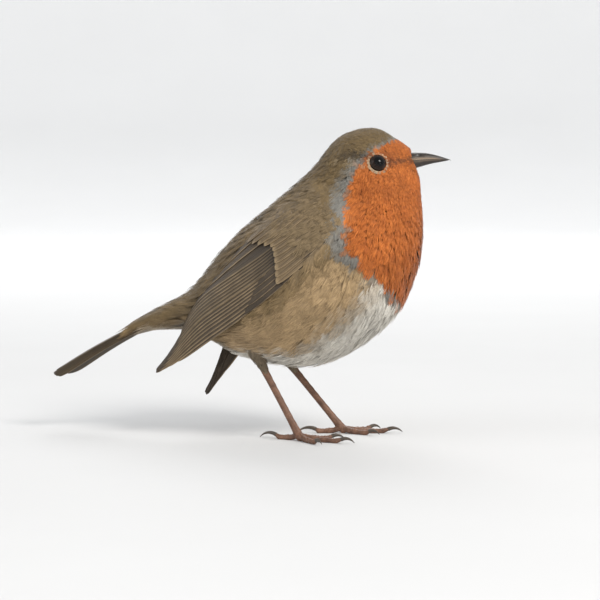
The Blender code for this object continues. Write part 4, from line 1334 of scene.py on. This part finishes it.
tint = ramp(grain, (0.3, (0.014, 0.011, 0.009, 1)), (0.75, (0.042, 0.030, 0.022, 1)))
pale_edge = add_node(tree, "Attribute", attribute_name="edge").outputs["Fac"]
colour = mix_colour(pale_edge, tint, (0.34, 0.25, 0.17, 1))
gloss = rescale(grain, 0.0, 1.0, 0.28, 0.48)
finish(tree, shader, colour, gloss, grain, strength=0.25, deep=0.1)
for name, up, height, share_wide, fall, pale_by, solid in BILL_HALVES:
    # Rings from the root to the tip. Round a ring, the sine's upper half is the outside and the
    # lower half the flat where the halves meet. Both get lower and narrower, and end rounded.
    t, arc = grid(1 - (1 - np.linspace(0, 1, 64)) ** 1.4, full_turn(48))
    whole = BILL_TIP[0] - BILL_ROOT_X
    share = (whole - (0 if up > 0 else LOWER_BILL_SHORTER)) * t / whole
    x = BILL_ROOT_X + whole * share
    meets = BILL_MEETS_Z + (BILL_TIP[1] - BILL_MEETS_Z) * share
    meets = meets + BILL_ARCH * np.sin(math.pi * share) ** 2
    blunt = BILL_BLUNT * np.sqrt(1 - t)
    tall = np.hypot(height * (1 - t**fall), blunt) + BILL_THINNEST
    wide = np.hypot(BILL_HALF_WIDTH * share_wide * (1 - t) ** 0.85, blunt) + BILL_THINNEST
    c, s = np.cos(arc), np.sin(arc)
    parted = BILL_PARTED / 2 * (1 - 0.8 * share)
    ridge = parted + tall * np.abs(s) ** 0.85 * (1 - 0.10 * np.abs(c) ** 2)
    z = meets + up * np.where(s > 0, ridge, parted * (1 - 0.9 * np.sqrt(np.abs(s))))
    y = wide * np.sign(c) * np.abs(c) ** 0.9
    if up > 0:
        z = z - BILL_HOOK * np.clip((x - BILL_TIP[0]) / HOOK_STARTS + 1, 0, 1) ** 2
        for hand in (NOSTRIL[1], math.pi - NOSTRIL[1]):
            slit = bell(t, NOSTRIL[0], 0.06) * bell(arc, hand, 0.16)
            y, z = y * (1 - 0.34 * slit), z - 0.05 * slit
    points, faces = closed_tube(turn_head(np.stack([x, y, z], -1), 0 * x))
    bill = add_piece(name, points, faces, horn, "bill_horn", (solid,))
    pale = pale_by * bell(s, 0, 0.26) * (s > -0.4) * (1 - 0.2 * t) * (1 - ease(t, 0.6, 0.9))
    store(bill, "edge", np.append(pale, (0, 0)), "FLOAT")


def carried_rings(path, wide, tall, sides=20):
    """Oval rings carried along a path: each stands square to the path, its width level."""
    way = unit(np.gradient(path, axis=0))
    level = np.cross(way, (0.0, 0.0, 1.0))
    upright_way = np.linalg.norm(level, axis=-1, keepdims=True) < 1e-3
    level = unit(np.where(upright_way, (0.0, 1.0, 0.0), level))
    arc = full_turn(sides)
    across = (np.cos(arc) * wide)[..., None] * level[:, None]
    return path[:, None] + across + (np.sin(arc) * tall)[..., None] * np.cross(level, way)[:, None]


# Bristles: a few stiff hairs on each side, from the gape forward beside the bill.
hairs = []
for side in (RIGHT, LEFT):
    for lean in np.arange(BRISTLES) / (BRISTLES - 1):
        root = np.array((34.4 - 1.4 * lean, side * (1.9 + 0.5 * lean), 82.3 + 1.7 * lean))
        s = np.linspace(0, 1, 9)[:, None]
        straight, bent = (0.85, side * 0.5, 0.05 + 0.35 * lean), (0.1, side * -0.1, -0.45)
        path = turn_head(root + BRISTLE_LENGTH * (s * straight + s**2 * bent), np.zeros(9))
        radius = BRISTLE_RADIUS * (1.15 - s)
        hairs.append(closed_tube(carried_rings(path, radius, radius, 6)))
bristles = add_piece("bristles", *join(hairs), horn, "face_feather")
store(bristles, "edge", np.zeros(len(bristles.data.vertices)), "FLOAT")

# ---- Legs and claws
# Slender scaled legs, nearly smooth down the shank, with soft ringed toes that stand on their
# pads, three before and one behind. Each toe ends in a curved claw of dark horn.

TOE_HEADINGS = {"right": -14, "left": 12}  # which way each foot points
SHANK_STATIONS = (-0.06, -0.02, 0.03, 0.08, 0.14, 0.3, 0.55, 0.8, 0.9, 0.97, 1.02, 1.06)
SHANK_RADII = (0.7, 1.15, 1.32, 1.22, 1.06, 0.95, 0.92, 0.96, 1.06, 1.24, 1.2, 0.7)
SHANK_SCUTES = (2.6, 0.07)  # how long and how high the scales stand; then the toes' ones
TOE_SCUTES = (0.95, 0.11)
TOES = {  # angle from the foot's heading to its inner side, length, claw, pads
    "hind": (176, 8.2, 6.0, 2), "inner": (33, 10.0, 3.9, 2),
    "middle": (0, 14.2, 4.5, 3), "outer": (-34, 10.6, 3.8, 4),
}
TOE_RADII, TOE_TIP_RISE, TOE_SINK, TOE_START, PAD_SWELL = (0.95, 0.66), 1.2, 0.1, 0.3, 0.07
TOE_NAIL_BED = 0.93  # where along a toe its tip rounds off
CLAW_RADII, CLAW_RISES, CLAW_FALLS = (0.60, 0.07), math.radians(30), math.radians(52)
CLAW_SINK, CLAW_STRETCH, CLAW_PALE = 0.25, 1.09, 0.12
LEG_VOXEL = 0.12
scaled_leg, tree, shader = new_material("scaled_leg", {"Specular IOR Level": 0.4})
cell, cloud = cells(tree, 2600.0), noise(tree, 420.0, 4.0)
tint = ramp(cloud, (0.3, (0.105, 0.050, 0.030, 1)), (0.7, (0.255, 0.130, 0.078, 1)))
seam = product(rescale(cell, 0.35, 0.75), 0.35)
colour = mix_colour(seam, tint, (0.05, 0.025, 0.017, 1))
gloss = rescale(cloud, 0.0, 1.0, 0.38, 0.6)
finish(tree, shader, colour, gloss, product(cell, -1.0), strength=0.45, deep=0.2)


def scute_ridges(reach, arc, spacing, deep):
    """Broad overlapping scales over the top of a toe or down the front of a shank: a saw wave
    along it, strongest on that side (the sine of the arc)."""
    wave = (reach / spacing) % 1
    return deep * (ease(wave, 0.0, 0.75) - ease(wave, 0.82, 1.0)) * ease(np.sin(arc), -0.2, 0.5)


def one_mesh(points, faces, voxel):
    """Runs closed shells together into one skin, remeshed in cubes of the given size."""
    made = new_object("shells", points * MM, faces)
    remesh = made.modifiers.new("skin", "REMESH")
    remesh.mode, remesh.voxel_size = "VOXEL", voxel * MM
    smooth = made.modifiers.new("smooth", "SMOOTH")
    smooth.factor, smooth.iterations = 0.5, 2
    graph = bpy.context.evaluated_depsgraph_get()
    result = made.evaluated_get(graph).to_mesh()
    places = np.empty(len(result.vertices) * 3, np.float32)
    result.vertices.foreach_get("co", places)
    corners = corner_points(result)
    bpy.data.objects.remove(made)
    return places.reshape(-1, 3) / MM, corners.reshape(-1, 4)


def on_floor(points):
    """Whatever would reach into the floor is pressed flat on it."""
    points[:, 2] = np.maximum(points[:, 2], 0.0)
    return points


for label, (ankle, foot, side) in THIGHS.items():
    ankle, foot = np.array(ankle), np.array(foot)
    share = np.linspace(SHANK_STATIONS[0], SHANK_STATIONS[-1], 150)
    radius = np.interp(share, SHANK_STATIONS, SHANK_RADII)
    radius = np.convolve(np.pad(radius, 4, mode="edge"), np.ones(9) / 9, "valid")[:, None]
    arc = full_turn(20)
    path = ankle + (foot - ankle) * share[:, None]
    down = share[:, None] * np.linalg.norm(foot - ankle)
    ridge = scute_ridges(down, arc, *SHANK_SCUTES)
    shells = [closed_tube(carried_rings(path, 0.92 * radius + ridge * 0.3, 1.08 * radius + ridge))]
    claws = []
    for angle, length, claw, pads in TOES.values():
        heading = math.radians(TOE_HEADINGS[label] - side * angle)
        away = np.array([math.cos(heading), math.sin(heading), 0.0])
        share = np.linspace(0, 1, 90)
        reach = TOE_START + (length - TOE_START) * share
        waves = np.cos(2 * math.pi * pads * np.clip((reach - 2.5) / (length - 2.5), 0, 1))
        radius = TOE_RADII[0] + (TOE_RADII[1] - TOE_RADII[0]) * share - PAD_SWELL * waves
        height = radius - TOE_SINK + PAD_SWELL * waves + 0.55 * (1 - ease(share, 0, 0.4))
        height = height + (TOE_TIP_RISE - height) * ease(share, 0.82, 1.0)
        path = foot * (1, 1, 0) + away * reach[:, None] + np.outer(height, (0, 0, 1))
        past = np.clip((share - TOE_NAIL_BED) / 0.075, 0, 1)
        wide = 0.98 * (radius * np.sqrt(np.clip(1 - 0.75 * past**2, 0.05, 1)))[:, None]
        ridge = scute_ridges(reach[:, None] - 0.4, arc, *TOE_SCUTES)
        ridge = ridge * (share < TOE_NAIL_BED)[:, None]
        shells.append(closed_tube(carried_rings(path, wide + 0.25 * ridge, wide * 1.02 + ridge)))
        # The claw leaves the toe rising, bends evenly and comes down to just above the floor.
        s = np.linspace(0, 1, 28)
        bend = (CLAW_RISES + CLAW_FALLS) / claw
        turned = CLAW_RISES - bend * claw * s
        out = (math.sin(CLAW_RISES) - np.sin(turned)) / bend * CLAW_STRETCH - CLAW_SINK
        up = (np.cos(turned) - math.cos(CLAW_RISES)) / bend
        path = path[-1] + away * out[:, None] + np.outer(up, (0, 0, 1))
        radius = (CLAW_RADII[0] + (CLAW_RADII[1] - CLAW_RADII[0]) * s**1.3)[:, None]
        points, faces = closed_tube(carried_rings(path, 0.72 * radius, 1.05 * radius, 16))
        claws.append((on_floor(points), faces))
    solids = [f"claw_{label}_{name}" for name in TOES]
    made = add_piece(f"claws_{label}", *join(claws), horn, "claw_horn", solids)
    store(made, "edge", np.full(len(made.data.vertices), CLAW_PALE), "FLOAT")
    points, faces = one_mesh(*join(shells), LEG_VOXEL)
    solids = [f"tarsus_{label}"] + [f"toe_{label}_{name}" for name in TOES]
    add_piece(f"leg_{label}", on_floor(points), [faces], scaled_leg, "leg_scale", solids)
